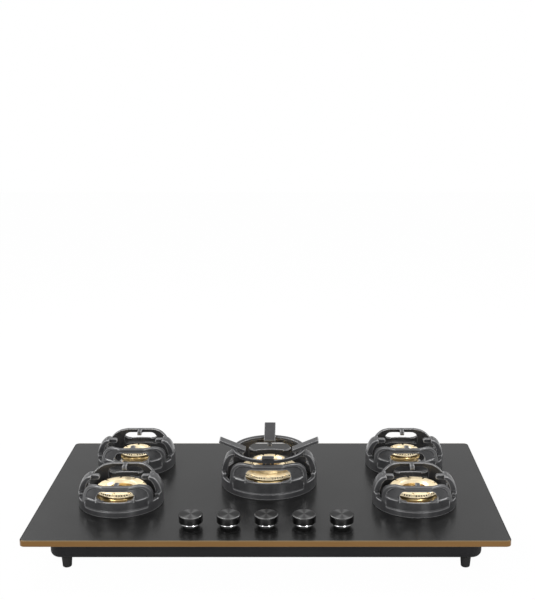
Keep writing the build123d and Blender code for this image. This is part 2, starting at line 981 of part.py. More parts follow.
for number, place in enumerate(knob_places, start=1):
    for piece_name, shape in (
        ("knob", knob_shape),
        ("knob_ring", knob_ring_shape),
        ("spindle", spindle_shape),
        ("valve_plug", plug_shape),
    ):
        with BuildPart() as placed_piece:
            with Locations(place):
                add(shape.part)
        save(placed_piece, f"{piece_name}_{number}")
with BuildPart() as valve_bodies:
    with Locations(*knob_places):
        add(valve_shape.part)
save(valve_bodies, "valve_bodies")

with BuildPart() as knob_collars:
    with BuildSketch(Plane.XY.offset(glass_top)):
        with Locations(*knob_places):
            Circle(collar_radius)
            Circle(collar_radius - collar_wall, mode=Mode.SUBTRACT)
    extrude(amount=collar_height)
save(knob_collars, "knob_collars")

# ---- Gas rail, pipes and jets -----------------------------------------------------------------
rail_past_first = 16
rail_past_last = 30
rail_start = -knob_pitch * (knob_count - 1) / 2 - rail_past_first
rail_end = knob_pitch * (knob_count - 1) / 2 + rail_past_last
pipe_radius = 4
pipe_bend = 25
pipe_straight = 1
fitting_flats = 24
fitting_hex_length = 21.5
fitting_shoulder_gap = 2.5
fitting_shoulder = case_depth / 2 - case_wall - fitting_shoulder_gap
fitting_start = fitting_shoulder - fitting_hex_length
fitting_neck_radius = inlet_hole_radius - seat_gap
fitting_neck_out = 0.5
fitting_neck_end = case_depth / 2 + fitting_neck_out
fitting_relief_radius = 9
fitting_relief_length = 1.5
fitting_thread_start = fitting_neck_end + fitting_relief_length
fitting_bore = 7.5

with BuildPart() as gas_rail:
    with BuildSketch(Plane.YZ.offset(rail_start)):
        with Locations((rail_y, gas_line_height)):
            Circle(rail_radius)
    extrude(amount=rail_end - rail_start)
save(gas_rail, "gas_rail")

with BuildPart() as inlet_pipe:
    with BuildLine():
        FilletPolyline(
            (rail_end, rail_y, gas_line_height),
            (inlet_x, rail_y, gas_line_height),
            (inlet_x, fitting_start, gas_line_height),
            radius=pipe_bend,
        )
    with BuildSketch(Plane(origin=(rail_end, rail_y, gas_line_height), z_dir=(1, 0, 0))):
        Circle(gas_line_radius)
    sweep()
save(inlet_pipe, "inlet_pipe")

with BuildPart() as inlet_fitting:
    with BuildSketch(Plane(origin=(inlet_x, fitting_start, gas_line_height), z_dir=(0, 1, 0))):
        RegularPolygon(fitting_flats / 2, 6, major_radius=False)
    extrude(amount=fitting_shoulder - fitting_start)
    for start, length, radius in (
        (fitting_shoulder, fitting_neck_end - fitting_shoulder, fitting_neck_radius),
        (fitting_neck_end, fitting_relief_length, fitting_relief_radius),
        (fitting_thread_start, inlet_thread_length, inlet_thread_radius),
    ):
        with BuildSketch(Plane(origin=(inlet_x, start, gas_line_height), z_dir=(0, 1, 0))):
            Circle(radius)
        extrude(amount=length)
    with BuildSketch(inlet_fitting.faces().sort_by(Axis.Y)[-1]):
        Circle(fitting_bore)
    extrude(amount=-inlet_thread_length, mode=Mode.SUBTRACT)
save(inlet_fitting, "inlet_fitting")

outlet_y = knob_y + valve_back
pipe_runs = {}
for sign, outer_knob, inner_knob in ((-1, 0, 1), (1, -1, -2)):
    outer_x = knob_places[outer_knob][0]
    inner_x = knob_places[inner_knob][0]
    pipe_runs[(outer_x, front_burner_y)] = sign * (side_burner_x - front_burner.reach)
    pipe_runs[(inner_x, rear_burner_y)] = sign * (side_burner_x - rear_burner.reach)

pipe_parts = []
for (start_x, turn_y), end_x in pipe_runs.items():
    with BuildPart() as pipe:
        bend = min(pipe_bend, abs(end_x - start_x) - pipe_straight)
        with BuildLine():
            FilletPolyline(
                (start_x, outlet_y, mixer_height),
                (start_x, turn_y, mixer_height),
                (end_x, turn_y, mixer_height),
                radius=bend,
            )
        with BuildSketch(Plane(origin=(start_x, outlet_y, mixer_height), z_dir=(0, 1, 0))):
            Circle(pipe_radius)
        sweep()
    pipe_parts.append(pipe.part)
with BuildPart() as burner_pipes:
    add(pipe_parts)
    with BuildSketch(Plane(origin=(0, outlet_y, mixer_height), z_dir=(0, 1, 0))):
        Circle(pipe_radius)
    extrude(amount=centre_burner_y - middle_burner.reach - outlet_y)
save(burner_pipes, "burner_pipes")

jet_places = [
    ((sign * (x - burner.reach), y), (-sign, 0))
    for sign in (-1, 1)
    for x, y, burner in (
        (side_burner_x, front_burner_y, front_burner),
        (side_burner_x, rear_burner_y, rear_burner),
    )
]
jet_places.append(((0, centre_burner_y - middle_burner.reach), (0, 1)))
with BuildPart() as injectors:
    for (x, y), (dx, dy) in jet_places:
        along = (-dx, -dy, 0) if dx else (dx, dy, 0)
        with BuildSketch(Plane(origin=(x, y, mixer_height), z_dir=along)):
            Circle(injector_radius)
        extrude(amount=injector_length)
save(injectors, "injectors")

# ---- Ignition module and battery box on the case floor ----------------------------------------
module_size = (60, 36, 22)
module_x = -150
module_inset = 37.5
module_place = (module_x, case_depth / 2 - module_inset)
battery_size = (72, 38, 34)
battery_inset_x = 141
battery_inset_y = 39.5
battery_place = (battery_inset_x - case_width / 2, battery_inset_y - case_depth / 2)
box_round = 3
for name, size, place in (
    ("ignition_module", module_size, module_place),
    ("battery_box", battery_size, battery_place),
):
    with BuildPart() as housing:
        with BuildSketch(Plane.XY.offset(case_floor)):
            with Locations(place):
                RectangleRounded(size[0], size[1], box_round)
        extrude(amount=size[2])
    save(housing, name)
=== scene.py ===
"""Dress the gas cooktop: finishes for every piece, and finer meshes for the cast and turned ones."""

import logging
import math
from dataclasses import Field, dataclass, field
from enum import Enum
from typing import Callable, Iterable, Sequence

import bmesh
import bpy
import numpy as np
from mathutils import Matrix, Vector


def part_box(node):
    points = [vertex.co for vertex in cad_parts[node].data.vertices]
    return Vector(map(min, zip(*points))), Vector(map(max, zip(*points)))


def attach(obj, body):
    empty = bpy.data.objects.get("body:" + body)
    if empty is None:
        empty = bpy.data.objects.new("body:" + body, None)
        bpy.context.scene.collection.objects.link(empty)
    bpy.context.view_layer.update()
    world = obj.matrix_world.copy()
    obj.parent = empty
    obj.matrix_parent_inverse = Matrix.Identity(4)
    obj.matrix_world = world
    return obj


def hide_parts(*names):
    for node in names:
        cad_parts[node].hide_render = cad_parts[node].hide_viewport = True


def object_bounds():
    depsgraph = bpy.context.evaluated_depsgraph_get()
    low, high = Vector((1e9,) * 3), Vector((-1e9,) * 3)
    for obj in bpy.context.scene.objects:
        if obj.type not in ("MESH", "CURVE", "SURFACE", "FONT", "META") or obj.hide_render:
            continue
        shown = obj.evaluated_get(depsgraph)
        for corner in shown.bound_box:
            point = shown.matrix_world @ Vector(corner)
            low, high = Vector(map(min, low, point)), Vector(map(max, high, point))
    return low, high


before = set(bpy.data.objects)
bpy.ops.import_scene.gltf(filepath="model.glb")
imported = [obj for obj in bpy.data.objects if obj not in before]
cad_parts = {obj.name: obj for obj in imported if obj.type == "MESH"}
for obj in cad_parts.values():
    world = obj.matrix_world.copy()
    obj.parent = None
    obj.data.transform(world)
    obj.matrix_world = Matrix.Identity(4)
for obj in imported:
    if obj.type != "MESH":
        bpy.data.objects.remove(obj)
cad_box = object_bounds()
log = logging.getLogger("cooktop")

MM = 0.001
POLE = 1e-6
WELD = 0.000001
PATTERN_WELD = 0.00001
MOST_OF_SIDE = 0.45
EDGE = "edge"
KNOB_RADIUS = 22.5
SMOOTH_ANGLE = math.radians(35)
GLASS_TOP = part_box("glass_panel")[1][2]

Colour = tuple[float, float, float]
Material = bpy.types.Material


class Side(Enum):
    """Places of the five burners on the panel."""

    FRONT_LEFT = "front_left"
    FRONT_RIGHT = "front_right"
    REAR_LEFT = "rear_left"
    REAR_RIGHT = "rear_right"
    CENTRE = "centre"


def middle(node: str) -> np.ndarray:
    """Return the middle of a node's box, in metres."""
    low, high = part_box(node)
    return (np.array(low) + np.array(high)) / 2


# ---- Shader maths ------------------------------------------------------------------------------


class Wire:
    """One output socket of a material's nodes, with Python operators that add Math nodes."""

    def __init__(self, dress: "Dress", socket: bpy.types.NodeSocket) -> None:
        """Keep the socket and the material that it belongs to."""
        self.dress = dress
        self.socket = socket

    def _with(
        self, operation: str, other: "Wire | float | None" = None, swap: bool = False
    ) -> "Wire":
        """Return the result of one Math node.

        Args:
            operation: what the node does.
            other: the second value, or None where there is only one.
            swap: True where the other value comes first.

        Returns:
            The node's result.
        """
        values = [self] if other is None else ([other, self] if swap else [self, other])
        return self.dress.node("ShaderNodeMath", {"operation": operation}, dict(enumerate(values)))[0]

    def __add__(self, other: "Wire | float") -> "Wire":
        """Return the sum."""
        return self._with("ADD", other)

    __radd__ = __add__

    def __rsub__(self, other: float) -> "Wire":
        """Return the other value less this one."""
        return self._with("SUBTRACT", other, swap=True)

    def __mul__(self, other: "Wire | float") -> "Wire":
        """Return the product."""
        return self._with("MULTIPLY", other)

    def __truediv__(self, other: "Wire | float") -> "Wire":
        """Return the quotient."""
        return self._with("DIVIDE", other)

    def absolute(self) -> "Wire":
        """Return the size without its sign."""
        return self._with("ABSOLUTE")

    def cosine(self) -> "Wire":
        """Return the cosine."""
        return self._with("COSINE")

    def above(self, edge: float) -> "Wire":
        """Return 1 where the value is over the edge, else 0."""
        return self._with("GREATER_THAN", edge)


class Dress:
    """One procedural material around a Principled shader."""

    def __init__(self, name: str, **constants: object) -> None:
        """Start a material and set the shader's constant sockets.

        Args:
            name: the material's name.
            constants: socket names with spaces as underscores, and their values.
        """
        self.material = bpy.data.materials.new(name)
        self.material.use_nodes = True
        self.tree = self.material.node_tree
        self.shader = self.tree.nodes["Principled BSDF"]
        for key, value in constants.items():
            self.shader.inputs[key.replace("_", " ")].default_value = value

    def node(self, kind: str, settings: dict | None = None, inputs: dict | None = None) -> list[Wire]:
        """Add a node.

        Args:
            kind: the node's type.
            settings: attributes of the node, or "stops" for a ramp's two (place, colour) pairs.
            inputs: socket names or numbers, with values or wires.

        Returns:
            The node's outputs, as wires.
        """
        made = self.tree.nodes.new(kind)
        for key, value in (settings or {}).items():
            if key == "stops":
                self._set_stops(made.color_ramp, value)
            else:
                setattr(made, key, value)
        for key, value in (inputs or {}).items():
            socket = made.inputs[key]
            if isinstance(value, Wire):
                self.tree.links.new(value.socket, socket)
            else:
                socket.default_value = value
        return [Wire(self, out) for out in made.outputs]

    @staticmethod
    def _set_stops(ramp: bpy.types.ColorRamp, stops: Sequence[tuple[float, tuple]]) -> None:
        """Give a colour ramp its two stops."""
        for element, (place, colour) in zip(ramp.elements, stops):
            element.position = place
            element.color = (*colour, 1.0)

    def place(self) -> Wire:
        """Return the point in the frame's own coordinates."""
        return self.node("ShaderNodeTexCoord")[3]

    def surface_uv(self) -> Wire:
        """Return the piece's own UV: metres round it and metres along its profile."""
        return self.node("ShaderNodeTexCoord")[2]

    def axes(self, vector: Wire) -> list[Wire]:
        """Split a vector into its three numbers."""
        return self.node("ShaderNodeSeparateXYZ", inputs={0: vector})

    def noise(self, at: Wire, scale: float, detail: float = 2.0, stretch: tuple = (1, 1, 1)) -> Wire:
        """Return noise from 0 to 1 at a scale, stretched along the axes."""
        mapped = self.node("ShaderNodeMapping", inputs={"Vector": at, "Scale": stretch})[0]
        return self.node(
            "ShaderNodeTexNoise", inputs={"Vector": mapped, "Scale": scale, "Detail": detail}
        )[0]

    def cells(self, at: Wire, scale: float) -> Wire:
        """Return the distance to the nearest of scattered points."""
        return self.node("ShaderNodeTexVoronoi", inputs={"Vector": at, "Scale": scale})[0]

    def ramp(self, value: Wire, dark: tuple, light: tuple) -> Wire:
        """Return a colour between dark and light, with plain ends below 0.3 and above 0.7."""
        return self.node("ShaderNodeValToRGB", {"stops": [(0.3, dark), (0.7, light)]}, {0: value})[0]

    def blend(self, share: Wire | float, first: Wire | tuple, second: Wire | tuple) -> Wire:
        """Return a colour between two."""
        settings = {"data_type": "RGBA"}
        inputs = {0: share}
        for key, value in ((6, first), (7, second)):
            inputs[key] = value if isinstance(value, Wire) else (*value, 1.0)
        return self.node("ShaderNodeMix", settings, inputs)[2]

    def feed(self, **wires: Wire) -> "Dress":
        """Link wires to the shader's sockets."""
        for key, wire in wires.items():
            self.tree.links.new(wire.socket, self.shader.inputs[key.replace("_", " ")])
        return self

    def bump(self, height: Wire, depth: float) -> "Dress":
        """Raise the surface by a height from 0 to 1, times a depth in metres."""
        inputs = {"Height": height, "Distance": depth, "Strength": 1.0}
        return self.feed(Normal=self.node("ShaderNodeBump", inputs=inputs)[0])


# ---- Finishes ----------------------------------------------------------------------------------


def grey(level: float) -> Colour:
    """Return a grey of that level."""
    return (level, level, level)


class Finish:
    """A finish that makes its own material."""

    def make(self) -> Material:
        """Return the material."""
        raise NotImplementedError


@dataclass(frozen=True)
class SatinGlass(Finish):
    """Black toughened glass with a finely etched face."""

    dark: Colour = grey(0.004)
    light: Colour = grey(0.007)
    least_roughness: float = 0.22
    cloud_scale: float = 9.0
    grain_scale: float = 2600.0
    grain_depth: float = 0.000008

    def make(self) -> Material:
        """Return the material."""
        dress = Dress("satin_glass", Specular_IOR_Level=0.5, IOR=1.5)
        at = dress.place()
        cloud = dress.noise(at, self.cloud_scale, 3.0)
        grain = dress.noise(at, self.grain_scale)
        dress.feed(
            Base_Color=dress.ramp(cloud, self.dark, self.light),
            Roughness=self.least_roughness + cloud * 0.05,
        )
        return dress.bump(grain, self.grain_depth).material


@dataclass(frozen=True)
class CopperTrim(Finish):
    """Brushed band with a copper-coloured coat, a painted highlight along its top lip and black rims at
    its two sides.

    Attributes:
        lip_height: height of the lip that carries the painted highlight, in mm.
        rim_width: width of a side rim, in mm.
    """

    dark: Colour = (0.13, 0.07, 0.025)
    light: Colour = (0.23, 0.13, 0.052)
    lip_highlight: Colour = (0.42, 0.32, 0.19)
    rim: Colour = grey(0.02)
    least_roughness: float = 0.16
    lip_height: float = 0.8
    rim_width: float = 3.5
    brush_scale: float = 900.0
    brush_stretch: tuple = (0.02, 0.02, 1.0)
    brush_depth: float = 0.00002

    def make(self) -> Material:
        """Return the material."""
        dress = Dress("copper_trim", Metallic=1.0, Anisotropic=0.4)
        at = dress.place()
        x, _, z = dress.axes(at)[:3]
        brush = dress.noise(at, self.brush_scale, 3.0, self.brush_stretch)
        cloud = dress.noise(at, 3.0)
        lip = z.above(GLASS_TOP - self.lip_height * MM)
        side = x.absolute().above(cad_box[1][0] - self.rim_width * MM)
        copper = dress.blend(brush * 0.5 + cloud * 0.5, self.dark, self.light)
        # The top lip takes a much paler colour: a painted highlight where the lip catches the light.
        lipped = dress.blend(lip, copper, self.lip_highlight)
        dress.feed(
            Base_Color=dress.blend(side * lip, lipped, self.rim),
            Roughness=self.least_roughness + brush * 0.10 + cloud * 0.04,
        )
        return dress.bump(brush, self.brush_depth).material


@dataclass(frozen=True)
class PowderCoat(Finish):
    """Black powder coat with its fine orange-peel texture."""

    dark: Colour = (0.009, 0.009, 0.010)
    light: Colour = (0.013, 0.013, 0.014)
    least_roughness: float = 0.5
    peel_scale: float = 1400.0
    peel_depth: float = 0.00006

    def make(self) -> Material:
        """Return the material."""
        dress = Dress("powder_coat", Specular_IOR_Level=0.18)
        at = dress.place()
        peel = dress.noise(at, self.peel_scale)
        cloud = dress.noise(at, 12.0)
        dress.feed(
            Base_Color=dress.ramp(cloud, self.dark, self.light),
            Roughness=self.least_roughness + peel * 0.15,
        )
        return dress.bump(peel, self.peel_depth).material


@dataclass(frozen=True)
class Moulded(Finish):
    """Black moulded rubber or plastic with a fine mould grain."""

    name: str
    shade: float
    least_roughness: float = 0.5
    grain_scale: float = 2200.0
    grain_depth: float = 0.00004

    def make(self) -> Material:
        """Return the material."""
        dress = Dress(self.name, Specular_IOR_Level=0.25)
        at = dress.place()
        grain = dress.noise(at, self.grain_scale)
        cloud = dress.noise(at, 60.0)
        dress.feed(
            Base_Color=dress.blend(cloud, grey(self.shade * 0.8), grey(self.shade * 1.2)),
            Roughness=self.least_roughness + grain * 0.2,
        )
        return dress.bump(grain, self.grain_depth).material


@dataclass(frozen=True)
class CastEnamel(Finish):
    """Satin black enamel over cast iron, with soft pits of the sand mould and a painted highlight on
    its edges.
    """

    name: str
    least_roughness: float
    dark: Colour = (0.036, 0.036, 0.038)
    light: Colour = (0.048, 0.048, 0.050)
    edge_highlight: Colour = (0.30, 0.30, 0.305)
    sand_scale: float = 520.0
    lump_scale: float = 90.0
    pit_scale: float = 700.0
    depth: float = 0.00006

    def make(self) -> Material:
        """Return the material."""
        dress = Dress(self.name, Specular_IOR_Level=0.5)
        at = dress.place()
        sand = dress.noise(at, self.sand_scale, 3.0)
        lumps = dress.noise(at, self.lump_scale)
        pits = dress.cells(at, self.pit_scale)
        edge = dress.node("ShaderNodeAttribute", {"attribute_name": EDGE})[2]
        # Base colour: random dark and light lumps, with a painted highlight blended in along the marked
        # edges.
        dress.feed(
            Base_Color=dress.blend(edge, dress.ramp(lumps, self.dark, self.light), self.edge_highlight),
            Roughness=self.least_roughness + sand * 0.10,
        )
        return dress.bump(sand * 0.6 + lumps * 0.4 + pits * 0.2, self.depth).material


@dataclass(frozen=True)
class TurnedBrass(Finish):
    """Brass with fine turning marks round it and a little heat tint."""

    name: str
    least_roughness: float
    dark: Colour
    light: Colour
    mark_scale: float = 2600.0
    mark_stretch: tuple = (0.004, 1.0, 1.0)
    mark_depth: float = 0.00002

    def make(self) -> Material:
        """Return the material."""
        dress = Dress(self.name, Metallic=1.0)
        marks = dress.noise(dress.surface_uv(), self.mark_scale, 2.0, self.mark_stretch)
        cloud = dress.noise(dress.place(), 45.0, 3.0)
        dress.feed(
            Base_Color=dress.blend(cloud, self.dark, self.light),
            Roughness=self.least_roughness + marks * 0.10 + cloud * 0.06,
        )
        return dress.bump(marks, self.mark_depth).material


@dataclass(frozen=True)
class SpunMetal(Finish):
    """Black anodised metal with rings of a lathe tool, and a painted fan of highlight rays and shade.

    Attributes:
        shade: middle grey of the coat.
        highlight_fan: how much lighter the painted highlight rays are than the shade, as a share of it.
        anisotropy: how much the rings draw a light out.
        dark_share: how much darker the painted shade is than the middle grey, as a share of
            highlight_fan.
    """

    name: str
    least_roughness: float
    anisotropy: float
    shade: float
    highlight_fan: float
    dark_share: float = 0.45
    ring_scale: float = 5200.0
    ring_stretch: tuple = (0.0008, 1.0, 1.0)
    ring_depth: float = 0.000008

    def make(self) -> Material:
        """Return the material.

        The painted fan is (1 - cos 2a) / 2 * (0.6 + 0.4 cos 6a) at an angle a round the axis: painted
        shade to the left and the right, with a pair of painted highlight rays beside the front and the
        back, standing in for the lamps' reflection in the spun rings.
        """
        dress = Dress(self.name, Metallic=1.0, Anisotropic=self.anisotropy)
        uv = dress.surface_uv()
        rings = dress.noise(uv, self.ring_scale, 2.0, self.ring_stretch)
        angle = dress.axes(uv)[0] / (KNOB_RADIUS * MM)
        painted_rays = (1.0 - (angle * 2.0).cosine()) * 0.5 * ((angle * 6.0).cosine() * 0.4 + 0.6)
        dark = grey(self.shade * (1 - self.dark_share * self.highlight_fan))
        light = grey(self.shade * (1 + self.highlight_fan))
        # Painted highlight and shade: the rays stand in for the lamps' reflection in the spun rings.
        dress.feed(
            Base_Color=dress.blend(painted_rays * 0.8 + rings * 0.2, dark, light),
            Roughness=self.least_roughness + rings * 0.1,
        )
        return dress.bump(rings, self.ring_depth).material


@dataclass(frozen=True)
class Glossy(Finish):
    """A smooth finish with a faint haze, such as polished chrome or glazed ceramic."""

    name: str
    metallic: float
    dark: Colour
    light: Colour
    least_roughness: float
    more_roughness: float
    haze_scale: float

    def make(self) -> Material:
        """Return the material."""
        dress = Dress(self.name, Metallic=self.metallic)
        haze = dress.noise(dress.place(), self.haze_scale)
        dress.feed(
            Base_Color=dress.blend(haze, self.dark, self.light),
            Roughness=self.least_roughness + haze * self.more_roughness,
        )
        return dress.material


@dataclass(frozen=True)
class BareMetal(Finish):
    """Plain sheet or die-cast metal with rolling marks and spangle.

    Attributes:
        shade: middle grey of the metal.
        tint: what its blue has more than its red and green.
    """

    name: str
    shade: float
    tint: float
    least_roughness: float
    spangle_scale: float = 160.0
    grain_scale: float = 900.0
    grain_depth: float = 0.00003

    def make(self) -> Material:
        """Return the material."""
        dress = Dress(self.name, Metallic=1.0)
        at = dress.place()
        spangle = dress.cells(at, self.spangle_scale)
        grain = dress.noise(at, self.grain_scale)
        dark, light = self.shade * 0.85, self.shade * 1.05
        dress.feed(
            Base_Color=dress.blend(
                spangle, (dark, dark, dark + self.tint), (light, light, light + self.tint)
            ),
            Roughness=self.least_roughness + grain * 0.15,
        )
        return dress.bump(grain, self.grain_depth).material


CHROME = Glossy("bright_chrome", 1.0, (0.74, 0.74, 0.75), (0.84, 0.84, 0.85), 0.15, 0.08, 300.0)
CERAMIC = Glossy("glazed_ceramic", 0.0, (0.70, 0.69, 0.65), (0.80, 0.79, 0.76), 0.25, 0.1, 800.0)
SATIN_BRASS = TurnedBrass("satin_brass", 0.40, (1.0, 0.82, 0.52), (1.0, 0.89, 0.66))
POLISHED_BRASS = TurnedBrass("polished_brass", 0.22, (0.86, 0.58, 0.22), (0.98, 0.76, 0.40))


def made(finish: Finish) -> Field:
    """Return a field whose default is the finish's material, made when its class is called."""
    return field(default_factory=finish.make)


@dataclass(frozen=True)
class Finishes:
    """Every finish of the cooktop, made once."""

    glass: Material = made(SatinGlass())
    trim: Material = made(CopperTrim())
    case: Material = made(PowderCoat())
    rubber: Material = made(Moulded("foot_rubber", 0.015))
    iron: Material = made(CastEnamel("cast_enamel", 0.24))
    tray: Material = made(CastEnamel("tray_enamel", 0.2))
    brass: Material = made(SATIN_BRASS)
    polished_brass: Material = made(POLISHED_BRASS)
    # Near-black brass inside the flame ports: painted shade.
    port_shade: Material = made(BareMetal("port_shade_brass", 0.03, -0.01, 0.7))
    knob_top: Material = made(SpunMetal("spun_knob_top", 0.3, 0.0, 0.072, 2.0))
    # A much lighter copy of the knob metal: a painted highlight on the knob's top edge.
    knob_edge_highlight: Material = made(SpunMetal("knob_edge_highlight", 0.2, 0.0, 0.26, 0.9))
    knob_side: Material = made(SpunMetal("knob_side", 0.25, 0.3, 0.05, 0.15))
    chrome: Material = made(CHROME)
    plastic: Material = made(Moulded("black_plastic", 0.025))
    steel: Material = made(BareMetal("zinc_steel", 0.55, 0.01, 0.35))
    aluminium: Material = made(BareMetal("die_cast_aluminium", 0.6, 0.005, 0.4))
    ceramic: Material = made(CERAMIC)


# ---- Meshes ------------------------------------------------------------------------------------


def mesh_object(
    name: str, points: np.ndarray, quads: np.ndarray, uvs: np.ndarray | None = None
) -> bpy.types.Object:
    """Return a new object from whole arrays.

    Args:
        name: the object's name.
        points: (n, 3) vertices in metres.
        quads: (m, 4) vertex numbers.
        uvs: (m * 4, 2) one UV a corner, or None.

    Returns:
        The object, linked to the scene at the origin.
    """
    mesh = bpy.data.meshes.new(name)
    mesh.vertices.add(len(points))
    mesh.vertices.foreach_set("co", points.astype(np.float32).ravel())
    mesh.loops.add(quads.size)
    mesh.loops.foreach_set("vertex_index", quads.astype(np.int32).ravel())
    mesh.polygons.add(len(quads))
    mesh.polygons.foreach_set("loop_start", np.arange(0, quads.size, 4, dtype=np.int32))
    if uvs is not None:
        mesh.uv_layers.new(name="UVMap").data.foreach_set("uv", uvs.astype(np.float32).ravel())
    mesh.update(calc_edges=True)
    mesh.polygons.foreach_set("use_smooth", np.ones(len(quads), dtype=bool))
    mesh.set_sharp_from_angle(angle=SMOOTH_ANGLE)
    piece = bpy.data.objects.new(name, mesh)
    bpy.context.scene.collection.objects.link(piece)
    return piece


def rounded(profile: Sequence[tuple[float, float]], radius: float, steps: int = 4) -> np.ndarray:
    """Round the corners of a closed profile.

    Each corner is replaced by points of a quadratic curve that starts and ends at most one radius
    away from it, and at most MOST_OF_SIDE of the shorter side, with the corner as its control point.

    Args:
        profile: (r, z) corners in mm.
        radius: the distance from the corner where its curve starts, in mm.
        steps: spans of each curve.

    Returns:
        The (r, z) points of the rounded profile.
    """
    corners = np.array(profile, dtype=float)
    before = np.roll(corners, 1, axis=0) - corners
    after = np.roll(corners, -1, axis=0) - corners
    before_length = np.linalg.norm(before, axis=1, keepdims=True)
    after_length = np.linalg.norm(after, axis=1, keepdims=True)
    reach = np.minimum(radius, MOST_OF_SIDE * np.minimum(before_length, after_length))
    start = corners + before / before_length * reach
    end = corners + after / after_length * reach
    t = np.linspace(0, 1, steps + 1)[None, :, None]
    first, control, last = (1 - t) ** 2, 2 * t * (1 - t), t**2
    curve = first * start[:, None] + control * corners[:, None] + last * end[:, None]
    return curve.reshape(-1, 2)


def capped(outline: Sequence[tuple[float, float]], radius: float, steps: int = 4) -> np.ndarray:
    """Round the corners of a profile that starts and ends on the axis, and keep its two ends there.

    Args:
        outline: (r, z) corners in mm, the first and the last on the axis.
        radius: the distance from a corner where its curve starts, in mm.
        steps: spans of each curve.

    Returns:
        The (r, z) points of the rounded profile.
    """
    round_part = rounded(outline, radius, steps)[steps + 1 : -(steps + 1)]
    return np.concatenate([[outline[0]], round_part, [outline[-1]]])


def finer(profile: np.ndarray, spacing: Callable[[float, float], float]) -> np.ndarray:
    """Split the sides of a closed profile.

    Args:
        profile: (r, z) corners in mm.
        spacing: the longest piece allowed of a side whose middle is at (r, z), in mm.

    Returns:
        The (r, z) points, with each side cut into equal pieces.
    """
    ahead = np.roll(profile, -1, axis=0)
    parts = []
    for first, second in zip(profile, ahead):
        limit = spacing(*((first + second) / 2))
        count = max(1, math.ceil(float(np.linalg.norm(second - first)) / limit))
        parts.append(first + (second - first) * (np.arange(count) / count)[:, None])
    return np.concatenate(parts)


def turned(
    name: str,
    profile: np.ndarray,
    centre: Sequence[float],
    segments: int,
    press: Callable[[np.ndarray, np.ndarray, np.ndarray], tuple[np.ndarray, np.ndarray]] | None = None,
) -> bpy.types.Object:
    """Return a turned ring: a closed profile carried round an upright axis.

    The point at angle a and profile step p is (cx + r cos a, cy + r sin a, cz + z), where press may
    change r and z for its angle first.

    Args:
        name: the object's name.
        profile: (r, z) of the closed section in mm, anticlockwise with r to the right and z up.
        centre: the axis and the base height, in metres.
        segments: steps round the axis.
        press: a function of angle, r and z grids that returns new r and z grids.

    Returns:
        The object, with UVs in metres round the axis and along the profile.
    """
    angles = np.linspace(0, 2 * np.pi, segments, endpoint=False)
    angle, r = np.meshgrid(angles, profile[:, 0], indexing="ij")
    z = np.broadcast_to(profile[:, 1], r.shape).copy()
    if press is not None:
        r, z = press(angle, r, z)
    offsets = np.stack([r * np.cos(angle), r * np.sin(angle), z], axis=-1) * MM
    points = np.array(centre) + offsets
    steps = len(profile)
    i, j = np.meshgrid(np.arange(segments), np.arange(steps), indexing="ij")
    i_next, j_next = (i + 1) % segments, (j + 1) % steps
    corners = np.stack(
        [i * steps + j, i_next * steps + j, i_next * steps + j_next, i * steps + j_next], axis=-1
    )
    sides = np.linalg.norm(np.roll(profile, -1, axis=0) - profile, axis=1) * MM
    along = np.concatenate([[0], np.cumsum(sides)])
    turn = 2 * np.pi / segments * float(profile[:, 0].max()) * MM
    u0, v0, v1 = i * turn, along[j], along[j + 1]
    u1 = u0 + turn
    corner_uvs = [np.stack(pair, axis=-1) for pair in ((u0, v0), (u1, v0), (u1, v1), (u0, v1))]
    uvs = np.stack(corner_uvs, axis=-2)
    piece = mesh_object(name, points.reshape(-1, 3), corners.reshape(-1, 4), uvs.reshape(-1, 2))
    if profile[:, 0].min() < POLE:
        weld(piece.data)
    return piece


def weld(mesh: bpy.types.Mesh) -> None:
    """Join the points of a mesh that meet, such as those of a pole on the axis."""
    work = bmesh.new()
    work.from_mesh(mesh)
    bmesh.ops.remove_doubles(work, verts=work.verts, dist=WELD)
    work.to_mesh(mesh)
    work.free()


def carry(
    piece: bpy.types.Object, node: str, body: str, material: Material
) -> None:
    """Make a piece stand for a node, ride on its body and take a finish.

    Args:
        piece: the new piece.
        node: the CAD node that it replaces.
        body: the moving body that carries it.
        material: the finish.
    """
    piece.data.materials.clear()
    piece.data.materials.append(material)
    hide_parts(node)
    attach(piece, body)
    log.info("made %s for %s on %s", piece.name, node, body)


def paint(node: str, material: Material) -> None:
    """Give a CAD node's own mesh a finish.

    Args:
        node: the node.
        material: the finish, put into each of its slots.
    """
    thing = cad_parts[node]
    if not thing.material_slots:
        thing.data.materials.append(material)
    for place in thing.material_slots:
        place.material = material
    log.info("painted %s", node)


# ---- Cast pieces -------------------------------------------------------------------------------


def prism(front: np.ndarray, back: np.ndarray) -> bpy.types.Mesh:
    """Return a closed block between two outlines of as many points.

    Side k joins points k and k + 1 of the front outline to the same points of the back one, and the
    two outlines close the ends.

    Args:
        front: (n, 3) points in metres, in order round the outline.
        back: (n, 3) points in metres, in the same order.

    Returns:
        The block's mesh.
    """
    count = len(front)
    ring = np.arange(count)
    ahead = (ring + 1) % count
    sides = np.stack([ring, ring + count, ahead + count, ahead], axis=-1).tolist()
    faces = [ring.tolist(), (ring[::-1] + count).tolist(), *sides]
    mesh = bpy.data.meshes.new("block")
    mesh.from_pydata(np.concatenate([front, back]).tolist(), [], faces)
    return mesh


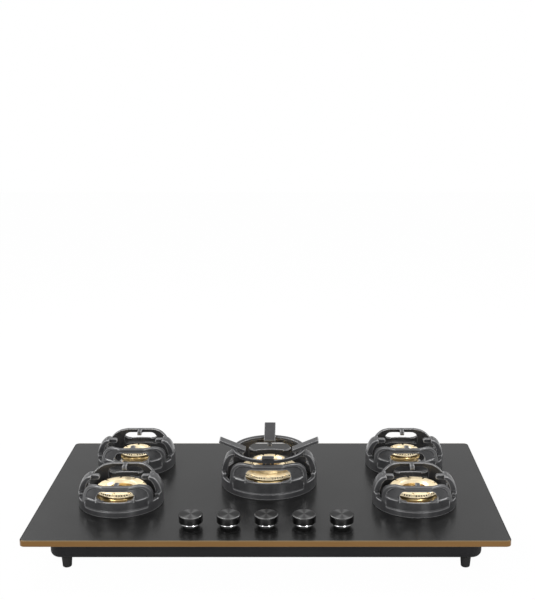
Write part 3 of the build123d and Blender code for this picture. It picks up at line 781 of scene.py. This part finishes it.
def cast(name: str, patterns: Sequence[bpy.types.Mesh], voxel: float, melt: int) -> bpy.types.Object:
    """Return one casting from overlapping patterns, with its sharp edges melted by the sand mould.

    The patterns are filled with an even grid of voxels, whose skin is then smoothed. The grid
    turns its faces outward whichever way round those of the patterns run.

    Args:
        name: the object's name.
        patterns: closed meshes, in metres.
        voxel: the grain of the mould surface, in metres.
        melt: passes of smoothing over the grain.

    Returns:
        The casting, with its edges marked.
    """
    work = bmesh.new()
    for pattern in patterns:
        work.from_mesh(pattern)
    bmesh.ops.remove_doubles(work, verts=work.verts, dist=PATTERN_WELD)
    source = bpy.data.meshes.new(f"{name}_pattern")
    work.to_mesh(source)
    work.free()
    rough = bpy.data.objects.new(f"{name}_pattern", source)
    bpy.context.scene.collection.objects.link(rough)
    grid = rough.modifiers.new("grid", "REMESH")
    grid.mode = "VOXEL"
    grid.voxel_size = voxel
    smooth = rough.modifiers.new("melt", "SMOOTH")
    smooth.factor = 0.5
    smooth.iterations = melt
    seen = rough.evaluated_get(bpy.context.evaluated_depsgraph_get())
    mesh = bpy.data.meshes.new_from_object(seen)
    mesh.name = name
    bpy.data.objects.remove(rough)
    mesh.polygons.foreach_set("use_smooth", np.ones(len(mesh.polygons), dtype=bool))
    mark_edges(mesh)
    piece = bpy.data.objects.new(name, mesh)
    bpy.context.scene.collection.objects.link(piece)
    log.info("cast %s: %d faces", name, len(mesh.polygons))
    return piece


def mark_edges(mesh: bpy.types.Mesh, passes: int = 4, flat: float = 0.12, sharp: float = 0.5) -> None:
    """Write how far each point stands out of its surroundings, from 0 to 1, as the mask of the enamel's
    painted edge highlight.

    Each pass moves every point to the mean of its neighbours. What a point has sunk along its
    normal tells how sharp an edge it lies on.

    Args:
        mesh: the mesh that gets the attribute.
        passes: how often the points are averaged.
        flat: the sinking in mm that still counts as flat.
        sharp: the sinking in mm that counts as a full edge.
    """
    count = len(mesh.vertices)
    points = np.empty(count * 3)
    mesh.vertices.foreach_get("co", points)
    points = points.reshape(-1, 3)
    ends = np.empty(len(mesh.edges) * 2, dtype=np.int32)
    mesh.edges.foreach_get("vertices", ends)
    first, second = ends.reshape(-1, 2).T
    links = np.maximum(1, np.bincount(ends, minlength=count))
    mean = points.copy()
    for _ in range(passes):
        sums = []
        for axis in range(3):
            ahead = np.bincount(first, mean[second, axis], count)
            behind = np.bincount(second, mean[first, axis], count)
            sums.append(ahead + behind)
        mean = np.stack(sums, axis=-1) / links[:, None]
    normals = np.empty(count * 3)
    mesh.vertex_normals.foreach_get("vector", normals)
    sunk = np.einsum("ij,ij->i", points - mean, normals.reshape(-1, 3)) / MM
    edge = np.clip((sunk - flat) / (sharp - flat), 0, 1)
    mesh.attributes.new(EDGE, "FLOAT", "POINT").data.foreach_set("value", edge.astype(np.float32))


@dataclass(frozen=True)
class Support:
    """A cast pan support: its node's solid, with round lower corners in the two arch windows.

    Attributes:
        side: the burner that it stands over.
        window: half the width of a window, in mm.
        sill: height of a window's lower edge over the glass, in mm.
        face: distance of an arch's leaning face from the middle at the sill, in mm.
        lean: how far the face leans in for each mm of height.
        corner: width and height of a window's round lower corners, in mm.
        depth: how far a corner block reaches in from the face, in mm.
        bite: how far a corner block reaches into the casting round it, in mm.
        voxel: the grain of the mould surface, in metres.
        melt: passes of smoothing over the grain.
    """

    side: Side
    window: float
    sill: float
    face: float
    lean: float
    corner: tuple[float, float]
    depth: float = 10.0
    bite: float = 1.5
    voxel: float = 0.00104
    melt: int = 2

    def _corner(self, across: int, along: int) -> bpy.types.Mesh:
        """Return the block that rounds one lower corner of a window.

        Its outline is the corner, less a quarter of an ellipse with the corner's width and height.

        Args:
            across: -1 for the left window corner, 1 for the right one.
            along: -1 for the front arch, 1 for the rear one.

        Returns:
            The block's mesh.
        """
        wide, tall = self.corner
        turn = np.linspace(0, np.pi / 2, 13)
        hollow_x = self.window - wide + wide * np.cos(turn)
        hollow_z = self.sill + tall - tall * np.sin(turn)
        outer = self.window + self.bite
        low = self.sill - self.bite
        x = np.concatenate([[outer, outer], hollow_x, hollow_x[-1:]])
        z = np.concatenate([[low], [self.sill + tall], hollow_z, [low]])
        face = self.face - (z - self.sill) * self.lean
        place = middle(f"{self.side.value}_crown")
        base = np.array([place[0], place[1], GLASS_TOP])
        ends = []
        for y in (face, face - self.depth):
            ends.append(base + np.stack([across * x, along * y, z], axis=-1) * MM)
        return prism(*ends)

    def build(self, material: Material) -> None:
        """Cast the support and put it in its node's place."""
        node = f"{self.side.value}_support"
        corners = [self._corner(across, along) for across in (-1, 1) for along in (-1, 1)]
        piece = cast(f"{node}_casting", [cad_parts[node].data, *corners], self.voxel, self.melt)
        carry(piece, node, node, material)


@dataclass(frozen=True)
class WokStand:
    """The stand on the centre support: a slim ring, four arms and the lugs that straddle the fingers.

    Attributes:
        section: (r, z) corners of the ring, in mm over the glass.
        arm: (r, z) corners of an arm.
        lug: (r, z) corners of a lug.
        arm_half: half the width of an arm, in mm.
        slot_half: half the gap between the two lugs of an arm, in mm.
        spacing: longest side of the ring's section, in mm.
        segments: steps round the ring.
        voxel: the grain of the mould surface, in metres.
        melt: passes of smoothing over the grain.
    """

    section: tuple = ((67, 68), (73.5, 67.8), (75, 76), (67, 73.8))
    arm: tuple = ((50, 67), (103, 89), (101, 95), (48, 73))
    lug: tuple = ((64, 63), (68, 63), (72, 70), (66, 70))
    arm_half: float = 11.8
    slot_half: float = 5.2
    spacing: float = 2.0
    segments: int = 240
    voxel: float = 0.0009
    melt: int = 2

    def _bar(self, corners: tuple, first: float, second: float, turn: float) -> bpy.types.Mesh:
        """Return a block across a radius.

        Args:
            corners: its (r, z) corners in mm over the glass.
            first: the offset of one end beside the radius, in mm.
            second: the offset of the other end, in mm.
            turn: the angle of the radius.

        Returns:
            The block's mesh.
        """
        place = middle("centre_crown")
        out = np.array([math.cos(turn), math.sin(turn)])
        aside = np.array([-out[1], out[0]])
        r, z = np.array(corners, dtype=float).T
        ends = []
        for offset in (first, second):
            flat = place[:2] + (r[:, None] * out + offset * aside) * MM
            ends.append(np.column_stack([flat, GLASS_TOP + z * MM]))
        return prism(*ends)

    def build(self, material: Material) -> None:
        """Cast the stand and put it in its node's place."""
        place = middle("centre_crown")
        section = finer(np.array(self.section, dtype=float), lambda r, z: self.spacing)
        ring = turned("wok_ring", section, (place[0], place[1], GLASS_TOP), self.segments)
        patterns = [ring.data]
        for turn in np.arange(4) * math.pi / 2:
            patterns.append(self._bar(self.arm, -self.arm_half, self.arm_half, turn))
            patterns.append(self._bar(self.lug, self.slot_half, self.arm_half, turn))
            patterns.append(self._bar(self.lug, -self.arm_half, -self.slot_half, turn))
        bpy.data.objects.remove(ring)
        piece = cast("wok_stand_casting", patterns, self.voxel, self.melt)
        carry(piece, "wok_stand", "wok_stand", material)


# ---- Burners -----------------------------------------------------------------------------------


@dataclass(frozen=True)
class Band:
    """An overhanging band of a crown, whose sloped face holds the flame ports.

    Attributes:
        radius: outer radius in mm.
        low: height of the lower edge over the glass, in mm.
        top: height of the upper edge over the glass, in mm.
        groups: groups of ports round the band, with a notch between each two.
        ports: ports of a group.
        step_in: how far the lower edge overhangs what is below it, in mm.
        lip: height of the upright edge under the slope, in mm.
        slope: how far the sloped face leans in, in mm.
        port_radius: radius of a port, in mm.
        port_depth: depth of a port, in mm.
        port_edge: width of a port's edge, in mm.
        pitch: distance between the middles of two ports, in mm.
        notch_width: width of a notch, in mm.
        notch_depth: depth of a notch, in mm.
        notch_length: how far a notch reaches in from the band's radius, in mm.
        notch_edge: width of a notch's edge, in mm.
        fine, middling, coarse: the longest sides of the profile on the slope, behind it and
            elsewhere, in mm.
        margin: how far the fine sides go past the slope, in mm.
        port_shade_edge: how far the painted shade in a port keeps from the top of the slope, in mm.
        port_shade_depth: how deep in a port the painted shade starts, in mm.
    """

    radius: float
    low: float
    top: float
    groups: int
    ports: int
    step_in: float = 2.0
    lip: float = 1.0
    slope: float = 4.5
    port_radius: float = 1.3
    port_depth: float = 2.6
    port_edge: float = 0.35
    pitch: float = 5.15
    notch_width: float = 4.0
    notch_depth: float = 2.0
    notch_length: float = 12.0
    notch_edge: float = 0.3
    fine: float = 0.34
    middling: float = 0.9
    coarse: float = 6.0
    margin: float = 0.2
    port_shade_edge: float = 0.4
    port_shade_depth: float = 0.5

    def outline(self) -> list[tuple[float, float]]:
        """Return the corners of the band in mm, from below."""
        return [
            (self.radius - self.step_in, self.low),
            (self.radius, self.low),
            (self.radius, self.low + self.lip),
            (self.radius - self.slope, self.top),
        ]

    def spacing(self, r: float, z: float) -> float:
        """Return the longest side of the profile at (r, z), all in mm."""
        on_slope = self.low + self.lip - self.margin < z < self.top + self.margin
        if on_slope and self.radius - self.slope - 0.3 < r:
            return self.fine
        if z > self.top - self.margin and self.radius - self.notch_length - 1 < r <= self.radius:
            return self.middling
        return self.coarse

    def press(
        self, angle: np.ndarray, r: np.ndarray, z: np.ndarray
    ) -> tuple[np.ndarray, np.ndarray]:
        """Sink the ports and cut the notches.

        A port lowers the radius by its depth inside a circle round its middle, seen from outside.
        A notch lowers the height to its floor inside a strip that runs inward from the band.

        Args:
            angle: the angle grid.
            r: the radius grid in mm.
            z: the height grid in mm over the glass.

        Returns:
            The new radius and height grids.
        """
        turn = 2 * np.pi / self.groups
        middle_radius = self.radius - self.slope / 2
        step = self.pitch / middle_radius
        off = np.mod(angle + turn / 2, turn) - turn / 2
        half = (self.ports - 1) / 2
        nearest = np.clip(np.round(off / step + half), 0, self.ports - 1) - half
        across = (off - nearest * step) * r
        height = (self.low + self.lip + self.top) / 2
        distance = np.hypot(across, z - height)
        on_slope = (r > self.radius - self.slope - 0.05) & (z > self.low + 0.5 * self.lip)
        port = np.clip((self.port_radius - distance) / self.port_edge, 0, 1) * on_slope
        aside = np.abs((np.mod(angle, turn) - turn / 2) * r)
        floor = self.top - self.notch_depth
        in_strip = (r > self.radius - self.notch_length) & (z > floor) & (z < self.top + 0.1)
        notch = np.clip((self.notch_width / 2 - aside) / self.notch_edge, 0, 1) * in_strip
        return r - self.port_depth * port, z - (z - floor) * notch

    def is_port(self, r: np.ndarray, z: np.ndarray) -> np.ndarray:
        """Tell which points at (r, z) in mm lie in the painted shade inside a port of the sloped face.
        """
        foot = self.low + self.lip
        slope_radius = self.radius - self.slope * (z - foot) / (self.top - foot)
        below = slope_radius - r
        in_height = (z > foot - self.margin) & (z < self.top - self.port_shade_edge)
        return in_height & (below > self.port_shade_depth) & (below < self.port_depth + self.port_shade_edge)


@dataclass(frozen=True)
class Crown:
    """A turned brass crown with its bands of flame ports.

    Attributes:
        side: which burner it belongs to.
        neck: radius of the neck on the cup, in mm.
        well: radius of the middle well, in mm.
        bands: the bands, from the lowest.
        segments: steps round the axis.
        seat: height of the lower edge, in mm over the glass.
        flare: height where the neck ends, in mm.
        waist: insets from the lowest band's radius and heights of the hollow below it, in mm.
        well_lip: width and depth of the slope into the well, in mm.
        edge_round: reach of the rounding of each corner, in mm.
    """

    side: Side
    neck: float
    well: float
    bands: tuple[Band, ...]
    segments: int = 960
    seat: float = 5.6
    flare: float = 13.6
    waist: tuple = ((0.6, 17.6), (0.2, 18.6), (2.4, 19.6), (4.0, 21.4), (4.6, 23.2), (4.2, 25.2))
    well_lip: float = 5.0
    edge_round: float = 0.5

    def profile(self) -> np.ndarray:
        """Return the closed section of the crown in mm, from the well round the outside."""
        low = self.bands[0]
        outline = [
            (self.well, self.seat),
            (self.neck, self.seat),
            (self.neck, self.flare),
            *((low.radius - inset, height) for inset, height in self.waist),
            *low.outline(),
        ]
        for band in self.bands[1:]:
            outline += [(band.radius - band.step_in, low.top), *band.outline()]
        high = self.bands[-1].top
        outline += [(self.well + self.well_lip, high), (self.well, high - self.well_lip)]
        corners = rounded(outline, self.edge_round, 3)
        return finer(corners, lambda r, z: min(band.spacing(r, z) for band in self.bands))

    def press(
        self, angle: np.ndarray, r: np.ndarray, z: np.ndarray
    ) -> tuple[np.ndarray, np.ndarray]:
        """Press every band's ports and notches in turn."""
        for band in self.bands:
            r, z = band.press(angle, r, z)
        return r, z

    def build(self, finishes: Finishes) -> None:
        """Turn the crown, with painted shade in its ports and a polished waist."""
        node = f"{self.side.value}_crown"
        place = middle(node)
        axis = (place[0], place[1], GLASS_TOP)
        piece = turned(f"{node}_turned", self.profile(), axis, self.segments, self.press)
        carry(piece, node, node, finishes.brass)
        # Port insides take near-black brass: painted shade in the ports.
        piece.data.materials.append(finishes.port_shade)
        piece.data.materials.append(finishes.polished_brass)
        middles = np.empty(len(piece.data.polygons) * 3)
        piece.data.polygons.foreach_get("center", middles)
        x, y, z = (middles.reshape(-1, 3) - axis).T / MM
        inside = np.any([band.is_port(np.hypot(x, y), z) for band in self.bands], axis=0)
        body = z < self.bands[0].low - 0.1
        zones = np.where(body, 2, inside.astype(np.int32))
        piece.data.polygons.foreach_set("material_index", zones)


@dataclass(frozen=True)
class Cap:
    """The small turned cap in the middle well of a burner.

    Attributes:
        side: which burner it belongs to.
        radius: outer radius in mm.
        height: height in mm.
        foot_slope: width and height of the slope under the side, in mm.
        top_slope: width and height of the slope over it, in mm.
        edge_round: reach of the rounding of each corner, in mm.
        segments: steps round the axis.
    """

    side: Side
    radius: float = 12.5
    height: float = 7.0
    foot_slope: tuple[float, float] = (2.0, 3.0)
    top_slope: tuple[float, float] = (3.0, 2.0)
    edge_round: float = 0.6
    segments: int = 128

    def build(self, material: Material) -> None:
        """Turn the cap: a low disc whose side slopes in below and above."""
        node = f"{self.side.value}_cap"
        place = middle(node)
        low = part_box(node)[0][2]
        outline = [
            (0, 0),
            (self.radius - self.foot_slope[0], 0),
            (self.radius, self.foot_slope[1]),
            (self.radius, self.height - self.top_slope[1]),
            (self.radius - self.top_slope[0], self.height),
            (0, self.height),
        ]
        profile = capped(outline, self.edge_round)
        piece = turned(f"{node}_turned", profile, (place[0], place[1], low), self.segments)
        carry(piece, node, node, material)


# ---- Knobs -------------------------------------------------------------------------------------


@dataclass(frozen=True)
class Knob:
    """A knob and the bright ring under it.

    Attributes:
        number: place in the row, from the left.
        radius: outer radius in mm.
        height: height of the body in mm.
        edge: size of the turned top edge in mm.
        ring_radius: radius of the ring's foot, in mm.
        ring_slope: how far the ring leans in to its top, in mm.
        ring_rise: height of the ring, in mm.
        cavity: radius of the hollow under the body, in mm.
        cavity_depth: depth of that hollow, in mm.
        boss: radius of the middle boss, in mm.
        boss_drop: how far the boss hangs below the hollow's ceiling, in mm.
        bore: radius of the bore for the spindle, in mm.
        bore_end: height of the bore's end over the body's lower edge, in mm.
        edge_round: reach of the rounding of the body's corners, in mm.
        top_depth: how far under the top a face still counts as the top, in mm.
        spacing: longest side of the body's profile off the axis, in mm.
        segments: steps round the body.
        ring_lip: height of the upright edge at the ring's foot, in mm.
        ring_round: reach of the rounding of the ring's corners, in mm.
        ring_segments: steps round the ring.
    """

    number: int
    radius: float = KNOB_RADIUS
    height: float = 15.0
    edge: float = 1.4
    ring_radius: float = 19.8
    ring_slope: float = 1.2
    ring_rise: float = 3.0
    cavity: float = 16.5
    cavity_depth: float = 5.5
    boss: float = 8.0
    boss_drop: float = 5.0
    bore: float = 4.05
    bore_end: float = 10.8
    edge_round: float = 0.3
    top_depth: float = 0.2
    spacing: float = 1.5
    segments: int = 192
    ring_lip: float = 0.3
    ring_round: float = 0.2
    ring_segments: int = 160

    def build(self, finishes: Finishes) -> None:
        """Make the knob's body and its ring."""
        self._body(finishes)
        self._ring(finishes)

    def _body(self, finishes: Finishes) -> None:
        """Turn the body: a flat spun top inside an edge with a painted highlight, and a straight side.
        """
        node = f"knob_{self.number}"
        place = middle(node)
        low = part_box(node)[1][2] - self.height * MM
        boss_low = self.cavity_depth - self.boss_drop
        outline = [
            (0, self.bore_end),
            (self.bore, self.bore_end),
            (self.bore, boss_low),
            (self.boss, boss_low),
            (self.boss, self.cavity_depth),
            (self.cavity, self.cavity_depth),
            (self.cavity, 0.0),
            (self.radius, 0.0),
            (self.radius, self.height - self.edge),
            (self.radius - self.edge, self.height),
            (0, self.height),
        ]
        corners = capped(outline, self.edge_round, 3)
        profile = finer(corners, lambda r, z: self.spacing if r > 0 else self.height)
        piece = turned(f"{node}_turned", profile, (place[0], place[1], low), self.segments)
        carry(piece, node, node, finishes.knob_side)
        # The top edge takes the lighter copy of the knob metal: a painted highlight.
        piece.data.materials.append(finishes.knob_edge_highlight)
        piece.data.materials.append(finishes.knob_top)
        count = len(piece.data.polygons)
        heights = np.empty(count * 3)
        piece.data.polygons.foreach_get("center", heights)
        rise = (heights.reshape(-1, 3)[:, 2] - low) / MM
        on_edge = rise > self.height - self.edge
        on_top = rise > self.height - self.top_depth
        zones = on_edge.astype(np.int32) + on_top.astype(np.int32)
        piece.data.polygons.foreach_set("material_index", zones)

    def _ring(self, finishes: Finishes) -> None:
        """Turn the polished ring under the body."""
        node = f"knob_ring_{self.number}"
        place = middle(node)
        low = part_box(node)[0]
        outline = [
            (self.cavity, 0),
            (self.ring_radius, 0),
            (self.ring_radius, self.ring_lip),
            (self.ring_radius - self.ring_slope, self.ring_rise),
            (self.cavity, self.ring_rise),
        ]
        profile = rounded(outline, self.ring_round)
        axis = (place[0], place[1], low[2])
        piece = turned(f"{node}_turned", profile, axis, self.ring_segments)
        carry(piece, node, f"knob_{self.number}", finishes.chrome)


# ---- Panel, case and what else keeps its own mesh ----------------------------------------------


@dataclass(frozen=True)
class Panel:
    """The pieces that keep their own mesh.

    Attributes:
        finishes: every finish.
        painted: the nodes of each finish, by the finish's name.
        knob_count: how many spindles and valve plugs there are.
    """

    finishes: Finishes
    painted: dict[str, tuple[str, ...]] = field(
        default_factory=lambda: {
            "glass": ("glass_panel",),
            "trim": ("edge_trim",),
            "case": ("bottom_case",),
            "rubber": ("case_gasket", "feet"),
            "steel": ("foot_screws", "burner_brackets", "thermocouples", "gas_rail", "inlet_pipe"),
            "aluminium": (
                "front_burner_cups",
                "rear_burner_cups",
                "centre_burner_cup",
                "valve_bodies",
                "burner_pipes",
            ),
            "tray": ("front_drip_trays", "rear_drip_trays", "centre_drip_tray"),
            "ceramic": ("spark_electrodes",),
            "plastic": ("knob_collars", "ignition_module", "battery_box"),
            "brass": ("inlet_fitting", "injectors"),
        }
    )
    knob_count: int = 5

    def build(self) -> None:
        """Give each node its finish."""
        for finish, nodes in self.painted.items():
            for node in nodes:
                paint(node, getattr(self.finishes, finish))
        for number in range(1, self.knob_count + 1):
            paint(f"spindle_{number}", self.finishes.steel)
            paint(f"valve_plug_{number}", self.finishes.brass)


# ---- Studio ------------------------------------------------------------------------------------


@dataclass(frozen=True)
class Lamp:
    """A soft rectangular lamp that faces the middle of the panel.

    Attributes:
        name: the lamp's name.
        place: its middle, in metres.
        size: its width and height, in metres.
        power: its power in watts.
    """

    name: str
    place: tuple[float, float, float]
    size: tuple[float, float]
    power: float

    def build(self) -> None:
        """Hang the lamp."""
        data = bpy.data.lights.new(self.name, "AREA")
        data.shape = "RECTANGLE"
        data.size, data.size_y = self.size
        data.energy = self.power
        lamp = bpy.data.objects.new(self.name, data)
        lamp.location = self.place
        x, y, z = np.array([0.0, 0.0, GLASS_TOP]) - np.array(self.place)
        lamp.rotation_euler = (math.atan2(math.hypot(x, y), -z), 0, math.atan2(y, x) - math.pi / 2)
        bpy.context.scene.collection.objects.link(lamp)


@dataclass(frozen=True)
class Studio:
    """Floor, backdrop, lamps and camera, as a plain pale studio.

    Attributes:
        eye: the camera's place, in metres over the middle of the glass.
        pitch: how far the camera looks down, in degrees.
        focal_pixels: the camera's focal length, in pixels of the photo.
        image_width, image_height: the photo's size in pixels.
        centre_x: the pixel column that the camera looks along.
        world_level: strength of the light from all round.
        floor_glow: share of white light where the camera sees the floor.
        floor_half: half the side of the floor, in metres.
        floor_grey: how much light the floor returns.
        lamps: the lamps.
    """

    eye: tuple[float, float, float] = (0.0561, -2.0118, 0.8364)
    pitch: float = 12.42
    focal_pixels: float = 1040.8
    image_width: float = 535.0
    image_height: float = 600.0
    centre_x: float = 296.1
    world_level: float = 0.60
    floor_glow: float = 0.985
    floor_half: float = 6.0
    floor_grey: float = 0.85
    lamps: tuple[Lamp, ...] = (
        Lamp("back_left", (-1.3, 1.2, 1.9), (0.9, 0.9), 34.0),
        Lamp("back_right", (1.3, 1.2, 1.9), (0.9, 0.9), 30.0),
        Lamp("front_left", (-1.7, -1.9, 1.5), (0.7, 0.9), 26.0),
        Lamp("front_right", (1.3, -2.4, 1.1), (0.6, 0.9), 26.0),
    )

    def build(self) -> None:
        """Make the studio."""
        self._camera()
        self._floor()
        self._world()
        for lamp in self.lamps:
            lamp.build()

    def _camera(self) -> None:
        """Place the camera at the photo's eye point."""
        data = bpy.data.cameras.new("camera")
        data.sensor_fit = "VERTICAL"
        data.sensor_height = 36.0
        data.lens = self.focal_pixels * data.sensor_height / self.image_height
        data.shift_x = -(self.centre_x - self.image_width / 2) / self.image_height
        camera = bpy.data.objects.new("camera", data)
        camera.location = (self.eye[0], self.eye[1], self.eye[2] + GLASS_TOP)
        camera.rotation_euler = (math.radians(90 - self.pitch), 0, 0)
        bpy.context.scene.collection.objects.link(camera)
        bpy.context.scene.camera = camera

    def _floor(self) -> None:
        """Make the floor: pale, with a soft shadow under the cooktop."""
        corners = np.array([(-1, -1, 0), (1, -1, 0), (1, 1, 0), (-1, 1, 0)])
        floor = mesh_object("floor", corners * self.floor_half, np.array([[0, 1, 2, 3]]))
        pale = (*grey(self.floor_grey), 1.0)
        dress = Dress("pale_floor", Base_Color=pale, Roughness=0.9, Specular_IOR_Level=0.1)
        seen = dress.node("ShaderNodeLightPath")
        glow = dress.node("ShaderNodeEmission", inputs={"Color": (1, 1, 1, 1), "Strength": 1.0})[0]
        plain = Wire(dress, dress.shader.outputs[0])
        shares = {0: seen[0] * self.floor_glow, 1: plain, 2: glow}
        mixed = dress.node("ShaderNodeMixShader", inputs=shares)
        output = dress.tree.nodes["Material Output"]
        dress.tree.links.new(mixed[0].socket, output.inputs["Surface"])
        floor.data.materials.append(dress.material)

    def _world(self) -> None:
        """Make the surroundings: white where they are seen, and plain soft light elsewhere."""
        world = bpy.data.worlds.new("studio")
        world.use_nodes = True
        bpy.context.scene.world = world
        nodes, links = world.node_tree.nodes, world.node_tree.links
        background = nodes["Background"]
        path = nodes.new("ShaderNodeLightPath")
        level = nodes.new("ShaderNodeMapRange")
        level.inputs["To Min"].default_value = self.world_level
        level.inputs["To Max"].default_value = 1.0
        links.new(path.outputs["Is Camera Ray"], level.inputs["Value"])
        links.new(level.outputs["Result"], background.inputs["Strength"])
        background.inputs["Color"].default_value = (1.0, 1.0, 1.0, 1.0)


def crowns() -> Iterable[Crown]:
    """Return the five crowns with their sizes."""
    front = Band(radius=51, low=27, top=33, groups=9, ports=5)
    rear = Band(radius=34.5, low=27, top=33, groups=6, ports=5)
    outer = Band(radius=63, low=27, top=33, groups=10, ports=5)
    inner = Band(radius=41, low=42, top=47, groups=8, ports=4)
    return (
        Crown(Side.FRONT_LEFT, neck=41, well=25, bands=(front,)),
        Crown(Side.FRONT_RIGHT, neck=41, well=25, bands=(front,)),
        Crown(Side.REAR_LEFT, neck=32, well=12, bands=(rear,), segments=720),
        Crown(Side.REAR_RIGHT, neck=32, well=12, bands=(rear,), segments=720),
        Crown(Side.CENTRE, neck=41, well=25, bands=(outer, inner), segments=720),
    )


def supports() -> Iterable[Support]:
    """Return the five pan supports with their sizes."""
    small = {"window": 36, "sill": 31, "face": 79.4, "lean": 0.554, "corner": (14, 8.5)}
    large = {"window": 45, "sill": 36, "face": 93.7, "lean": 0.523, "corner": (17, 10), "voxel": 0.0011}
    return [Support(side, **(large if side is Side.CENTRE else small)) for side in Side]


def main() -> None:
    """Build the studio and dress every piece of the cooktop."""
    logging.basicConfig(level=logging.INFO)
    bpy.context.scene.view_settings.view_transform = "Standard"
    Studio().build()
    finishes = Finishes()
    panel = Panel(finishes)
    panel.build()
    for support in supports():
        support.build(finishes.iron)
    WokStand().build(finishes.iron)
    for crown in crowns():
        crown.build(finishes)
    for side in (Side.FRONT_LEFT, Side.FRONT_RIGHT, Side.CENTRE):
        Cap(side).build(finishes.brass)
    for number in range(1, panel.knob_count + 1):
        Knob(number).build(finishes)


if __name__ == "__main__":
    main()
